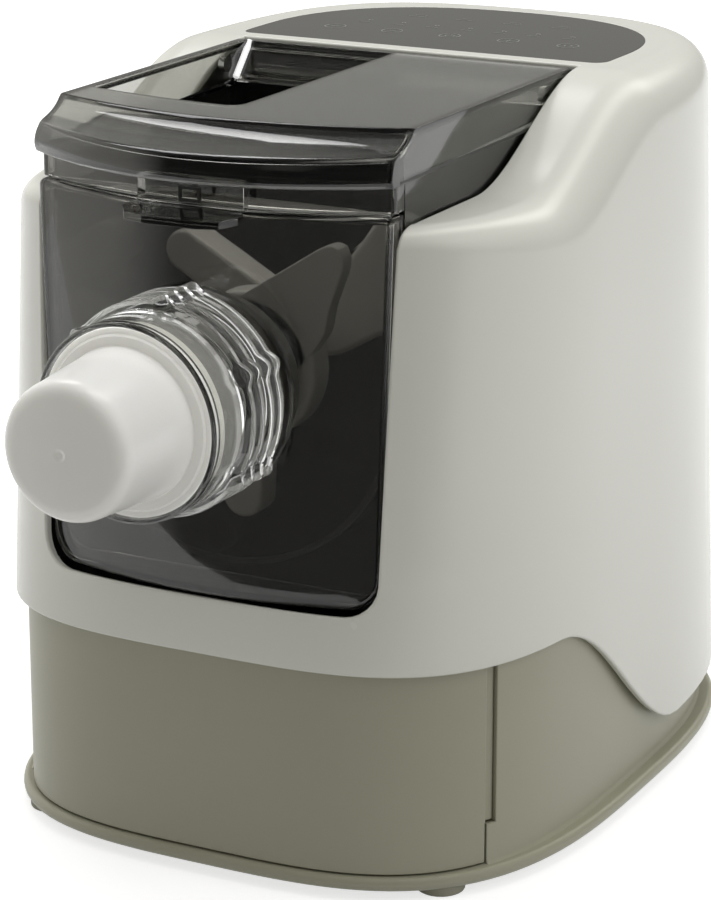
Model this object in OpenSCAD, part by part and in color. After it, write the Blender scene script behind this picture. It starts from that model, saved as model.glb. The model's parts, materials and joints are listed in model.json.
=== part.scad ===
/* [Body] */
// Half width of the housing at the bottom of its front face
body_half_w = 107; // [104:0.5:112]
// Distance from the plan centre to the front of the housing
body_front = 134.5; // [133.5:0.5:140]
// Distance from the plan centre to the back of the housing
body_back = 143; // [141:1:150]
// Height of the flat top above the rim of the mixing tub
lid_rise = 15.5; // [14.5:0.5:18]
// Distance from the tub's rim down to the cheeks beside it at the front
cheek_drop = 15; // [9:1:21]
// Height of the housing's bottom edge across the front
skirt_front = 81.5; // [78:0.5:86]
// Height of the housing's bottom edge round the back
skirt_back = 22; // [16:1:30]
// Thickness of the housing's wall
shell_wall = 2.6; // [2:0.1:2.8]
// Radius of the rounding where the sides meet the top
crown_side = 18; // [12:1:24]
// Radius of the rounding where the back meets the top
crown_back = 11; // [8:1:20]
// Radius of the rounding at the front of the two cheeks
crown_front = 6; // [4:0.5:12]

/* [Base] */
// Half width of the flange round the foot of the base
flange_half_w = 110; // [108:0.5:116]
// Distance that the base wall stands in from the housing's bottom edge
base_set_in = 3; // [3:0.25:5]
// Thickness of the flange plate
flange_t = 5; // [4:0.5:6]
// Height of the underside of the flange above the surface
flange_z = 3.4; // [2.5:0.1:5]
// Thickness of the base wall
base_wall = 3; // [2:0.25:4]
// Radius of a foot
foot_r = 8.5; // [6:0.5:11]
// Depth of the pocket that a foot is pressed into
foot_pocket = 1.6; // [1:0.2:2.4]

/* [Drawer] */
// Height of the drawer tray
tray_h = 52; // [30:1:58]
// Depth of the drawer tray from front to back
tray_depth = 114; // [60:2:120]
// Distance from the outside of the base wall to the tray's side
tray_side_gap = 24; // [23:1:44]
// Thickness of the tray's walls
tray_wall = 2; // [1.5:0.25:3]
// Travel of the drawer
drawer_travel = 90; // [40:1:95]

/* [Mixing chamber] */
// Height of the shaft's axis above the surface
axis_z = 173.5; // [171:0.5:176]
// Thickness of the tub's walls
tub_wall = 2.4; // [2:0.1:3]
// Height of the tub's rim above the shaft's axis
rim_rise = 73.5; // [71:0.5:76]
// Height of the front rim band below the rim
rim_band = 10.6; // [9:0.2:11]
// Thickness of the lid
lid_t = 2.6; // [2:0.1:3]
// Radius of the lid's rolled back edge
lid_roll_r = 6.5; // [5.5:0.25:6.5]
// Distance from the lid's front edge back to its pour opening
pour_margin = 22; // [18:1:60]
// Distance from the lid's centre line to the side of the pour opening
pour_inset = 1.5; // [0:0.5:30]
// Angle that the lid opens
lid_open = 75; // [30:5:80]

/* [Front panel] */
// Half width of the front panel at its bottom edge
panel_half_bottom = 63.4; // [58:0.2:64]
// Half width of the front panel at its top edge
panel_half_top = 66.8; // [66:0.2:67]
// Distance from the shaft's axis down to the panel's bottom edge
panel_drop = 71; // [69:0.5:73]
// Radius of the bowed front of the panel
panel_bow_r = 176; // [160:2:220]
// Thickness of the panel's skin
panel_t = 3; // [2.5:0.1:3.5]
// Width of the grip at the panel's top
grip_w = 40; // [30:1:50]
// Distance that the grip stands out of the panel
grip_out = 14.5; // [10:0.5:19]

/* [Outlet] */
// Outer radius of the extrusion tube
tube_r = 29.2; // [27:0.1:30]
// Wall of the extrusion tube
tube_wall = 2.8; // [2:0.1:3]
// Radius of the clamp nut's plain nose
nut_r = 33.4; // [33.2:0.1:35]
// Radius of the clamp nut over its ribs
rib_r = 36.4; // [36:0.2:38]
// Radius of the clamp nut over its finger grips
lobe_r = 39.6; // [39:0.2:41]
// Number of finger grips on the nut
lobes = 6; // [4:1:8]
// Radius of the outlet cap's flange
cap_flange_r = 31.4; // [30.5:0.1:31.6]
// Radius of the outlet cap at its root
cap_root_r = 25.5; // [20:0.25:26]
// Radius of the outlet cap at its closed end
cap_end_r = 23.5; // [18:0.25:25]
// Length of the outlet cap from its flange to its end
cap_len = 40; // [25:1:50]
// Wall of the outlet cap
cap_wall = 2.2; // [1.6:0.1:3]
// Number of holes in the shaping disc
die_holes = 12; // [6:1:16]

/* [Drive] */
// Radius of the output shaft
shaft_r = 5; // [4:0.25:5.5]
// Radius that the mixing paddle sweeps
paddle_r = 55; // [45:1:60]
// Module of the output gear and its pinion
out_module = 1.5; // [1.5:0.5:1.5]
// Teeth on the output gear
out_teeth = 54; // [50:1:56]
// Teeth on the pinion that drives the output gear
pinion_teeth = 14; // [13:1:15]
// Module of the gears on the motor side
mot_module = 1; // [1:0.25:1]
// Teeth on the intermediate wheel
wheel_teeth = 58; // [56:1:60]
// Teeth on the motor's pinion
motor_teeth = 14; // [13:1:15]
// Radius of the motor's can
motor_r = 29; // [26:0.5:30]
// Length of the motor's can
motor_len = 60; // [45:1:64]
// Number of blades on the cooling fan
fan_blades = 7; // [5:1:9]

/* [Control panel] */
// Half width of the touch panel
touch_half_w = 74; // [60:0.5:76]
// Depth of the touch panel from front to back
touch_depth = 90; // [60:1:94]
// Thickness of the touch panel
touch_t = 1.5; // [1.2:0.1:1.6]

/* [Hidden] */

// Clearances
seat = 0.2;          // between pieces that rest on or in one another
slip = 0.3;          // between faces of pieces that move past one another
run_fit = 0.05;      // radial clearance of a shaft in its bearing
press = 0.02;        // radial clearance of a wheel on its shaft
over = 1;            // length that a cut runs past a face

// Plan outlines: superellipses with their own power at the front and at the back
ring_n = 96;
rim_z = axis_z + rim_rise;
body_top = rim_z + lid_rise;
cheek_top = rim_z - cheek_drop;
panel_bottom = axis_z - panel_drop;
front_power = 3.5;
back_power = 3;
wall_power = 3.4;
flange_power = 3.2;
flange_front = 134;
flange_back = 146;
base_half_w = body_half_w - base_set_in;
base_front = 131.5;
base_back = 140;
side_draft = 0.035;
front_draft = 0.0385;
back_draft = 0.028;
crown_steps = 6;

function spow(v, p) = sign(v) * pow(abs(v), p);
function ring_angle(i) = -90 + 360 * i / ring_n;
function power_at(t, pf, pb) = sin(t) < 0 ? pf : pb;
function plan_x(t, a, pf, pb) = a * spow(cos(t), 2 / power_at(t, pf, pb));
function plan_y(t, bf, bb, pf, pb) = (sin(t) < 0 ? bf : bb) * spow(sin(t), 2 / power_at(t, pf, pb));
function plan(a, bf, bb, pf, pb) =
    [for (i = [0:ring_n - 1]) let (t = ring_angle(i)) [plan_x(t, a, pf, pb), plan_y(t, bf, bb, pf, pb)]];
function ease(t) = let (u = min(1, max(0, t))) u * u * (3 - 2 * u);

// The housing's bottom edge falls in a wave from front to back, and its top rises in another
wave_start = -67;
wave_end = 38;
rise_start = -62;
lid_axis_y = 16;
rise_end = lid_axis_y + lid_roll_r;
function skirt_at(y) = skirt_front + (skirt_back - skirt_front) * ease((y - wave_start) / (wave_end - wave_start));
function top_at(y) = cheek_top + (body_top - cheek_top) * ease((y - rise_start) / (rise_end - rise_start));

function side_at(z) = body_half_w - (z - skirt_front) * side_draft;
function front_at(z) = body_front - (z - skirt_front) * front_draft;
function back_at(z) = body_back - (z - skirt_front) * back_draft;
// A point of the housing's skin, moved in by e, at height z
function skin_point(t, z, e) = [plan_x(t, side_at(z) - e, front_power, back_power),
    plan_y(t, front_at(z) - e, back_at(z) - e, front_power, back_power), z];
function skin_y(t, z, e) = plan_y(t, front_at(z) - e, back_at(z) - e, front_power, back_power);
function skirt_ring(e, drop) = [for (i = [0:ring_n - 1]) let (t = ring_angle(i),
    z = skirt_at(skin_y(t, skirt_front, e)) - drop) skin_point(t, z, e)];
function crown_at(t) = crown_side + ((sin(t) < 0 ? crown_front : crown_back) - crown_side) * ease(abs(sin(t)));
function crown_ring(e, j) = [for (i = [0:ring_n - 1]) let (t = ring_angle(i), f = 90 * j / crown_steps,
    r = crown_at(t) - e, inset = e + r * (1 - cos(f)), z = top_at(skin_y(t, cheek_top, inset)) - e - r * (1 - sin(f)))
    skin_point(t, z, inset)];

// A closed solid over a stack of rings; its two ends are ladders of faces between mirrored points
module ring_solid(rings) {
    n = len(rings[0]);
    last = (len(rings) - 1) * n;
    sides = [for (k = [0:len(rings) - 2], i = [0:n - 1])
        [k * n + i, (k + 1) * n + i, (k + 1) * n + (i + 1) % n, k * n + (i + 1) % n]];
    inner = [for (i = [1:n / 2 - 2]) [i, i + 1, n - i - 1, n - i]];
    ends = [[0, 1, n - 1], [n / 2 - 1, n / 2, n / 2 + 1]];
    bottom = concat(inner, ends);
    top = [for (f = bottom) [for (i = [len(f) - 1:-1:0]) last + f[i]]];
    polyhedron([for (r = rings, p = r) p], concat(sides, bottom, top), convexity = 10);
}

// The volume inside the housing's skin, moved in by e
module skin_volume(e, drop) {
    ring_solid(concat([skirt_ring(e, drop)], [for (j = [0:crown_steps]) crown_ring(e, j)]));
}

// A solid drawn in X and Z and run along Y from y0 to y1
module along_y(y0, y1) {
    translate([0, y1, 0]) rotate([90, 0, 0]) linear_extrude(y1 - y0) children();
}
// A round bar along Y about a point in X and Z
module bar_y(x, z, r, y0, y1, fn = 48) {
    translate([x, y1, z]) rotate([90, 0, 0]) cylinder(r = r, h = y1 - y0, $fn = fn);
}
module bar_x(y, z, r, x0, x1, fn = 32) {
    translate([x0, y, z]) rotate([0, 90, 0]) cylinder(r = r, h = x1 - x0, $fn = fn);
}
module bar_z(x, y, r, z0, z1, fn = 32) {
    translate([x, y, z0]) cylinder(r = r, h = z1 - z0, $fn = fn);
}
module block(x0, x1, y0, y1, z0, z1) {
    translate([x0, y0, z0]) cube([x1 - x0, y1 - y0, z1 - z0]);
}
module both_sides() {
    children();
    mirror([1, 0, 0]) children();
}
// A cap screw along -Z with the underside of its head at the origin
module screw(r, len, head_r, head_h) {
    translate([0, 0, -len]) cylinder(r = r, h = len + head_h / 2, $fn = 24);
    difference() {
        cylinder(r = head_r, h = head_h, $fn = 24);
        translate([0, 0, head_h / 2]) cylinder(r = head_r / 2, h = head_h, $fn = 6);
    }
}

// Levels that the pieces share
floor_z = flange_z + flange_t;
deck_t = 3;
deck_z = 74;
deck_top = deck_z + deck_t;
base_top = skirt_front + 4.5;
drawer_seam_y = -97;
seam_step = 3.5;
seam_step_z = 23;
bay_gap = 0.8;
bay_half_top = panel_half_top + bay_gap;
bay_half_bottom = panel_half_bottom + bay_gap;
bay_bottom = panel_bottom - bay_gap;
bay_back = rise_end + 0.5;
function bay_half(z) = bay_half_bottom + (bay_half_top - bay_half_bottom) * (z - bay_bottom) / (cheek_top - bay_bottom);
tub_r = bay_half_top - 1;
floor_r = bay_half(axis_z) - 2 * seat;
shoulder_z = bay_bottom + (tub_r + seat - bay_half_bottom) / (bay_half_top - bay_half_bottom) * (cheek_top - bay_bottom);
lid_half_w = tub_r + slip;
corner_r = 11;
panel_face = -134;
tub_front = -112;
tub_back = 19.5;
liner_t = 2;
liner_half = bay_half_top + 2.6;
liner_front = -114;
liner_back_y = tub_back + 1;
liner_floor = 2;
bulk_y = liner_back_y + liner_t + seat;
bulk_t = 2.4;
case_y = bulk_y + bulk_t + seat;
case_wall = 3;
case_depth = 31;
cover_y = case_y + case_depth;
cover_t = 3;
motor_y = cover_y + cover_t + seat;
motor_z = 110;
post_r = 4.5;
screw_r = 1.7;
screw_hole = 1.9;

// The bay's outline in X and Z: wider at the top, with round bottom corners
module bay_outline(half_bottom, half_top, z0, z_wide, z1, r) {
    lean = atan2(half_top - half_bottom, z_wide - z0);
    difference() {
        polygon([[-half_bottom, z0], [half_bottom, z0], [half_top, z_wide], [half_top, z1],
            [-half_top, z1], [-half_top, z_wide]]);
        for (s = [-1, 1])
            translate([s * half_bottom, z0])
                difference() {
                    square(2 * r, center = true);
                    translate([s * (r * tan(lean) - r / cos(lean)), r]) circle(r = r, $fn = 48);
                    translate([0, r + r]) square([4 * r, 2 * r], center = true);
                }
    }
}

// ---- Base -------------------------------------------------------------------------------
foot_x = 78;
foot_y = 105;
post_spots = [[base_half_w - 14, -58], [base_half_w - 12, 20], [base_half_w - 20, 84], [34, base_back - 18]];
gland_z = 38;
gland_r = 6;
module foot_spots() {
    both_sides() for (s = [-1, 1]) translate([foot_x, s * foot_y, 0]) children();
}
module base_outline(e) {
    polygon(plan(base_half_w - e, base_front - e, base_back - e, wall_power, back_power));
}
module base_tray() color("#938f80") difference() {
    union() {
        translate([0, 0, flange_z]) linear_extrude(flange_t)
            polygon(plan(flange_half_w, flange_front, flange_back, flange_power, back_power));
        difference() {
            translate([0, 0, floor_z - over]) linear_extrude(base_top - floor_z + over) base_outline(0);
            translate([0, 0, floor_z - 2 * over]) linear_extrude(base_top) base_outline(base_wall);
            block(-base_half_w - over, base_half_w + over, -base_front - over, drawer_seam_y,
                floor_z, base_top + over);
            block(-base_half_w - over, base_half_w + over, -base_front - over,
                drawer_seam_y + seam_step, seam_step_z, base_top + over);
        }
        both_sides() for (p = post_spots) bar_z(p[0], p[1], post_r, floor_z - over, deck_z);
    }
    foot_spots() translate([0, 0, flange_z - over]) cylinder(r = foot_r + seat, h = foot_pocket + over, $fn = 48);
    both_sides() for (p = post_spots) bar_z(p[0], p[1], screw_hole, deck_z - 20, deck_z + over);
    bar_y(0, gland_z, gland_r + seat, base_back - 3 * base_wall, base_back + over);
    for (x = [-36:12:36]) block(x - 2, x + 2, 60, 100, flange_z - over, floor_z + over);
}
module feet() color("#4a4a48") foot_spots() {
    cylinder(r1 = foot_r - 0.8, r2 = foot_r, h = 0.8, $fn = 48);
    translate([0, 0, 0.8]) cylinder(r = foot_r, h = flange_z + foot_pocket - 0.8, $fn = 48);
}
tray_floor_z = floor_z + 3.4;
rail_top = tray_floor_z - slip;
module drawer_rails() color("#d9d7d0") both_sides() {
    block(tray_half_w - 12, tray_half_w + slip, -84, tray_back_y, floor_z, rail_top);
    block(tray_half_w + slip, tray_half_w + slip + 2, -84, tray_back_y, floor_z, rail_top + 6);
}
deck_half = base_half_w - base_wall - seat;
deck_front_y = -90;
module chassis_deck() color("#b9b9b4") difference() {
    union() {
        translate([0, 0, deck_z]) linear_extrude(deck_t) intersection() {
            base_outline(base_wall + seat);
            translate([-deck_half, deck_front_y]) square([2 * deck_half, base_back - deck_front_y]);
        }
        for (p = board_posts) bar_z(p[0], p[1], 3, deck_top, board_low_z);
    }
    both_sides() for (p = post_spots) bar_z(p[0], p[1], screw_hole, deck_z - over, deck_top + over);
    for (p = board_posts) bar_z(p[0], p[1], 1.2, deck_z + 1, board_low_z + over);
}
module deck_screws() color("#c8c8c8") both_sides() for (p = post_spots)
    translate([p[0], p[1], deck_top]) screw(screw_r, 16, 3.4, 2.4);

// ---- Housing ----------------------------------------------------------------------------
touch_front = rise_end + 7.5;
touch_mid = touch_front + 20;
touch_power = 2.35;
touch_z = body_top - touch_t;
boss_z = body_top - 13.5;
boss_spots = [[54, 50], [46, 98]];
vent_z = [92:8:148];
vent_half = 26;
function touch_back(e) = [for (i = [0:36]) let (t = 5 * i)
    [(touch_half_w - e) * spow(cos(t), 2 / touch_power),
    touch_mid + (touch_depth - (touch_mid - touch_front) - e) * spow(sin(t), 2 / touch_power)]];
module touch_outline(e) {
    r = 6;
    polygon(concat([[-(touch_half_w - e - r), touch_front + e], [touch_half_w - e - r, touch_front + e],
        [touch_half_w - e, touch_front + e + r]], touch_back(e), [[-(touch_half_w - e), touch_front + e + r]]));
}
module housing_shell() color("#e6e5df") difference() {
    union() {
        difference() {
            skin_volume(0, 0);
            skin_volume(shell_wall, 2 * over);
        }
        both_sides() for (p = boss_spots) bar_z(p[0], p[1], 3.6, boss_z, body_top - shell_wall + over);
    }
    along_y(-body_front - over, bay_back)
        bay_outline(bay_half_bottom, bay_half_top, bay_bottom, cheek_top, body_top + over, corner_r);
    translate([0, 0, touch_z - seat]) linear_extrude(touch_t + over) touch_outline(-seat);
    both_sides() for (p = boss_spots) bar_z(p[0], p[1], 1.2, boss_z - over, boss_z + 8);
    bar_y(0, gland_z, gland_r + seat, base_back - over, body_back + 4);
    for (z = vent_z) block(-vent_half, vent_half, body_back - 12, body_back + 4, z, z + 3.2);
}
module touch_panel() color("#5f5f58") translate([0, 0, touch_z]) linear_extrude(touch_t) touch_outline(0);
board_t = 1.6;
module control_board() color("#3d6b4a") difference() {
    union() {
        translate([0, 0, boss_z - seat - board_t]) linear_extrude(board_t)
            translate([-60, 42]) square([120, 64]);
        block(-50, 50, 52, 92, boss_z - seat, touch_z - seat - shell_wall);
        block(-46, -30, 60, 84, boss_z - seat - board_t - 9, boss_z - seat - board_t);
    }
    both_sides() for (p = boss_spots) bar_z(p[0], p[1], screw_hole - 0.3, boss_z - 12, boss_z + over);
}
module board_screws() color("#c8c8c8") both_sides() for (p = boss_spots)
    translate([p[0], p[1], boss_z - seat - board_t]) mirror([0, 0, 1]) screw(1.1, 8, 2.4, 1.8);

// ---- Bay, bulkhead and tub --------------------------------------------------------------
lid_axis_z = body_top - lid_roll_r;
pin_r = 1.6;
ear_y = lid_axis_y - pin_r - 1;
ear_z = top_at(ear_y) - shell_wall - 0.9;
hub_hole = 13;
module liner_walls() {
    along_y(liner_front, liner_back_y + liner_t) difference() {
        translate([-liner_half, bay_bottom - liner_floor])
            square([2 * liner_half, cheek_top - shell_wall - seat - bay_bottom + liner_floor - 3]);
        bay_outline(bay_half_bottom, bay_half_top, bay_bottom, cheek_top, body_top, corner_r);
    }
    along_y(liner_back_y, liner_back_y + liner_t)
        translate([-liner_half, bay_bottom - liner_floor]) square([2 * liner_half, rim_z - bay_bottom + liner_floor]);
}
module bay_liner() color("#3a3a37") difference() {
    union() {
        liner_walls();
        both_sides() block(bay_half_top, liner_half, ear_y, liner_back_y + liner_t, cheek_top - 12, ear_z);
    }
    bar_y(0, axis_z, hub_hole + seat, liner_back_y - over, liner_back_y + liner_t + over);
    both_sides() bar_x(lid_axis_y, lid_axis_z, pin_r + press, bay_half_top - over, liner_half + over);
}
module lid_pins() color("#c4c4c0") both_sides()
    bar_x(lid_axis_y, lid_axis_z, pin_r, lid_half_w - lid_t - 0.4, liner_half + 1.2);
module reed_sensor() color("#2b2b2b") block(liner_half + seat, liner_half + 5, -6, 8, cheek_top - 22, cheek_top - 12);
bulk_half = 60;
module rear_bulkhead() color("#a9adb0") difference() {
    union() {
        block(-bulk_half, bulk_half, bulk_y, bulk_y + bulk_t, deck_top, rim_z - 12);
        block(-bulk_half, -bulk_half + 14, bulk_y, bulk_y + 16, deck_top, deck_top + bulk_t);
        block(bulk_half - 14, bulk_half, bulk_y, bulk_y + 16, deck_top, deck_top + bulk_t);
    }
    bar_y(0, axis_z, bearing_r + 2.6, bulk_y - over, bulk_y + bulk_t + over);
}
module tub_outline(e) {
    translate([0, axis_z]) circle(r = floor_r - e, $fn = 96);
    translate([-(floor_r - e), axis_z]) square([2 * (floor_r - e), shoulder_z - axis_z + over]);
    translate([-(tub_r - e), shoulder_z]) square([2 * (tub_r - e), rim_z - shoulder_z + (e > 0 ? over : 0)]);
}
ledge = 4;
ledge_t = 3;
band_z = rim_z - rim_band;
module mixing_tub() color("#4c4a45") difference() {
    union() {
        difference() {
            along_y(tub_front, tub_back) tub_outline(0);
            along_y(tub_front - over, tub_back - tub_wall) tub_outline(tub_wall);
        }
        block(-tub_r, tub_r, lid_axis_y - slope_run - 2 * lid_t, tub_back, rim_z - ledge_t, rim_z);
        both_sides() block(tub_r - tub_wall - ledge, tub_r - tub_wall + over / 2, tub_front + 3, tub_back - over,
            rim_z - ledge_t, rim_z);
        both_sides() block(14, 18, tub_front + 12, tub_back - 8, bay_bottom + seat, axis_z - floor_r + 3);
        rim_front();
    }
    bar_y(0, axis_z, hub_hole, tub_back - 2 * tub_wall, tub_back + over);
}
bow_y = panel_face + panel_bow_r;
module bow(r0, r1, z0, z1) {
    translate([0, bow_y, z0]) difference() {
        cylinder(r = r1, h = z1 - z0, $fn = 240);
        translate([0, 0, -over]) cylinder(r = r0, h = z1 - z0 + 2 * over, $fn = 240);
    }
}
band_back = 2.5;
module rim_front() intersection() {
    union() {
        bow(panel_bow_r - band_back - tub_wall, panel_bow_r - band_back, band_z + slip, rim_z);
        both_sides() block(tub_r - tub_wall, tub_r, -126, tub_front + over, band_z + slip, rim_z);
    }
    block(-tub_r, tub_r, -140, tub_front + over, band_z, rim_z);
    translate([0, bow_y, band_z]) cylinder(r = panel_bow_r - band_back, h = rim_band, $fn = 240);
}
module shaft_seal() color("#8a2f24") difference() {
    bar_y(0, axis_z, hub_hole - press, tub_back - tub_wall, liner_back_y + liner_t);
    bar_y(0, axis_z, shaft_r + run_fit, tub_back - tub_wall - over, liner_back_y + liner_t + over);
}

// ---- Lid --------------------------------------------------------------------------------
visor_n = 24;
lid_front = 121;
lid_bow = 14;
skirt_low = rim_z + slip;
// Rows of the lid's skin, from the foot of its back wall over the top to the lip of its visor.
// Each is a half width, a place along Y at the centre, the fall back at the ends and a height.
slope_run = 14;
lip_low = rim_z - 1.6;
lip_bow = lid_bow + 8.8;
roll_angles = [-36, -12, 12, 36, 60, 90];
function roll_row(half, r, a) = [half, lid_axis_y + r * cos(a), 0, lid_axis_z + r * sin(a)];
inner_half = lid_half_w - lid_t;
lid_outer = concat([[lid_half_w, lid_axis_y - slope_run, 0, skirt_low]],
    [for (a = roll_angles) roll_row(lid_half_w, lid_roll_r, a)], [
    [lid_half_w, -lid_front, lid_bow, body_top],
    [lid_half_w, -lid_front - 4, lid_bow + 0.5, body_top - 1.1],
    [lid_half_w, -lid_front - 8.5, lid_bow + 2.5, body_top - 3.7],
    [lid_half_w, -lid_front - 13, lid_bow + 5, body_top - 5.7],
    [lid_half_w, -lid_front - 18, lid_bow + 7.5, body_top - 6.9],
    [lid_half_w - 0.2, -lid_front - 22, lip_bow + 0.7, body_top - 7.7],
    [lid_half_w + 0.2, -lid_front - 23.6, lip_bow + 0.4, body_top - 10.5],
    [lid_half_w + 0.5, -lid_front - 24, lip_bow, body_top - 14],
    [lid_half_w + 0.3, -lid_front - 23, lip_bow, lip_low],
    [lid_half_w + 0.3, -lid_front - 20.6, lip_bow, lip_low],
    [lid_half_w, -lid_front - 20.6, lip_bow, skirt_low]]);
lid_inner = concat([[inner_half, lid_axis_y - slope_run - 1.8 * lid_t, 0, skirt_low - over]],
    [for (a = roll_angles) roll_row(inner_half, lid_roll_r - lid_t, a)], [
    [inner_half, -lid_front + 1, lid_bow, body_top - lid_t],
    [inner_half, -lid_front - 3, lid_bow + 0.5, body_top - lid_t - 1.3],
    [inner_half, -lid_front - 7.5, lid_bow + 2.5, body_top - lid_t - 3.9],
    [inner_half, -lid_front - 12.4, lid_bow + 5, body_top - lid_t - 5.8],
    [inner_half, -lid_front - 17.4, lid_bow + 7.5, body_top - lid_t - 6.9],
    [inner_half, -lid_front - 20, lip_bow + 0.4, body_top - lid_t - 7.7],
    [inner_half + 0.3, -lid_front - 21, lip_bow + 0.2, body_top - lid_t - 9],
    [inner_half + 0.5, -lid_front - 21.3, lip_bow, body_top - 14],
    [inner_half + 0.5, -lid_front - 21.1, lip_bow, lip_low - 2 * over]]);
function lid_point(row, s) = [row[0] * s, row[1] + row[2] * s * s, row[3]];
// A closed solid under a set of rows, whose two ends fan out from a point on the side wall
module lid_volume(rows) {
    n = len(rows);
    hubs = [[-rows[0][0] - 1, -60, lip_low + 4], [rows[0][0] + 1, -60, lip_low + 4]];
    points = [for (k = [0:visor_n], row = rows) lid_point(row, 2 * k / visor_n - 1)];
    walls = [for (k = [0:visor_n - 1], j = [0:n - 1])
        [k * n + j, (k + 1) * n + j, (k + 1) * n + (j + 1) % n, k * n + (j + 1) % n]];
    first = [for (j = [0:n - 1]) [len(points), j, (j + 1) % n]];
    final = [for (j = [0:n - 1]) [len(points) + 1, visor_n * n + (j + 1) % n, visor_n * n + j]];
    polyhedron(concat(points, hubs), concat(walls, first, final), convexity = 6);
}
pour_r = 6;
pour_bow = 9;
pour_back = lid_axis_y - 4;
function pour_front(x) = -lid_front + pour_margin + pour_bow * pow(x / lid_half_w, 2);
// The opening over the left half of the chamber, with a round front corner and a bowed front edge
module pour_opening() translate([0, 0, lid_axis_z]) linear_extrude(2 * lid_roll_r) polygon(concat(
    [[-inner_half + 0.1, pour_back], [-pour_inset, pour_back]],
    [for (a = [0:15:90]) [-pour_inset - pour_r * (1 - cos(a)),
        pour_front(-pour_inset - pour_r) + pour_r * (1 - sin(a))]],
    [for (k = [1:6]) let (x = -pour_inset - pour_r - k / 6 * (inner_half - 0.1 - pour_inset - pour_r))
        [x, pour_front(x)]]));
module lid() color("#57544c") difference() {
    lid_volume(lid_outer);
    lid_volume(lid_inner);
    pour_opening();
    both_sides() bar_x(lid_axis_y, lid_axis_z, pin_r + run_fit, lid_half_w - 6 - over, lid_half_w + 2 * over);
}
module along_x(x0, x1) {
    translate([x0, 0, 0]) rotate([90, 0, 90]) linear_extrude(x1 - x0) children();
}
magnet_y = 0;
magnet_z = rim_z + 9;
magnet_r = 3;
module lid_magnet() color("#9a9a9a") both_sides()
    bar_x(magnet_y, magnet_z, magnet_r, lid_half_w - lid_t - 2.4, lid_half_w - lid_t - press);

// ---- Front panel and outlet -------------------------------------------------------------
panel_top = band_z;
gasket_t = 1.6;
panel_back = tub_front - gasket_t - seat;
boss_r = 35;
boss_back = -127.2;
module panel_outline(e) {
    bay_outline(panel_half_bottom - e, panel_half_top - e, panel_bottom + e, cheek_top - e,
        panel_top - e, corner_r - e);
}
module front_panel() color("#45433e") difference() {
    union() {
        intersection() {
            bow(panel_bow_r - panel_t, panel_bow_r, panel_bottom, panel_top);
            along_y(-140, panel_back) panel_outline(0);
        }
        intersection() {
            along_y(-140, panel_back) difference() {
                panel_outline(0);
                panel_outline(panel_t);
            }
            translate([0, bow_y, panel_bottom]) cylinder(r = panel_bow_r - 1, h = panel_top - panel_bottom, $fn = 240);
        }
        bar_y(0, axis_z, boss_r, -136, boss_back, 96);
    }
    bar_y(0, axis_z, tube_r + press, -137, panel_back + over, 96);
}
grip_t = 3;
grip_drop = 1.8;
grip_low = panel_top - grip_drop - grip_t;
plate_front = panel_face + 0.2;
plate_back = panel_face + band_back - slip;
plate_top = lip_low - 1.4 * slip;
// A plate on the panel's top edge, with a shelf that runs out and down from its foot
module panel_grip() color("#4b4943") intersection() {
    along_x(-grip_w, grip_w) polygon([[plate_back, panel_top + seat], [plate_back, plate_top],
        [plate_front, plate_top], [plate_front, panel_top + 0.4], [panel_face - grip_out + 2, panel_top - grip_drop],
        [panel_face - grip_out, panel_top - grip_drop - 1], [panel_face - grip_out + 1, grip_low],
        [panel_face - grip_out + 3, grip_low - 0.2], [panel_face - slip, panel_top - grip_t],
        [panel_face - slip, panel_top + seat]]);
    translate([0, 0, grip_low - over]) linear_extrude(plate_top - grip_low + 2 * over)
        polygon([[-grip_w / 2, plate_back + over], [-grip_w / 2, panel_face - 1], [-grip_w / 2 - 1.6, panel_face - 7],
            [-grip_w / 2 + 2.4, panel_face - grip_out + 1.8], [-grip_w / 4, panel_face - grip_out],
            [grip_w / 4, panel_face - grip_out], [grip_w / 2 - 2.4, panel_face - grip_out + 1.8],
            [grip_w / 2 + 1.6, panel_face - 7], [grip_w / 2, panel_face - 1], [grip_w / 2, plate_back + over]]);
}
catch_w = 8;
catch_h = 5;
catch_rim = 0.9;
module panel_catch() color("#161616") along_y(plate_front - 1, plate_front - 0.1) difference() {
    translate([-catch_w / 2, panel_top + 1]) square([catch_w, catch_h]);
    translate([-catch_w / 2 + catch_rim, panel_top + 1 + catch_rim])
        square([catch_w - 2 * catch_rim, catch_h - 2 * catch_rim]);
}
module panel_gasket() color("#d8d6cf") along_y(tub_front - gasket_t, tub_front - press) difference() {
    intersection() {
        tub_outline(0.4);
        translate([-tub_r, 0]) square([2 * tub_r, panel_top - 1]);
    }
    intersection() {
        tub_outline(tub_wall);
        translate([-tub_r, 0]) square([2 * tub_r, panel_top - 1 - tub_wall]);
    }
}
tube_front = -168;
module extrusion_tube() color("#d9d7d0") difference() {
    union() {
        bar_y(0, axis_z, tube_r, tube_front, panel_back + 0.5, 96);
        bar_y(0, axis_z, boss_r - 1, boss_back + seat, boss_back + seat + 2.8, 96);
    }
    bar_y(0, axis_z, tube_r - tube_wall, tube_front - over, panel_back + 2, 96);
}
die_t = 3;
module shaping_disc() color("#e8e6df") difference() {
    bar_y(0, axis_z, tube_r, tube_front - slip - die_t, tube_front - slip, 96);
    for (i = [0:die_holes - 1]) translate([0, 0, axis_z]) rotate([0, 360 * i / die_holes, 0])
        translate([0, 0, -axis_z]) bar_y(18, axis_z, 2.4, tube_front - slip - die_t - over, tube_front + over, 24);
    for (i = [0:die_holes / 2 - 1]) translate([0, 0, axis_z]) rotate([0, 720 * i / die_holes, 0])
        translate([0, 0, -axis_z]) bar_y(9, axis_z, 2.4, tube_front - slip - die_t - over, tube_front + over, 24);
}
nut_back = 136.6;
nut_front = 177.3;
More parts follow.
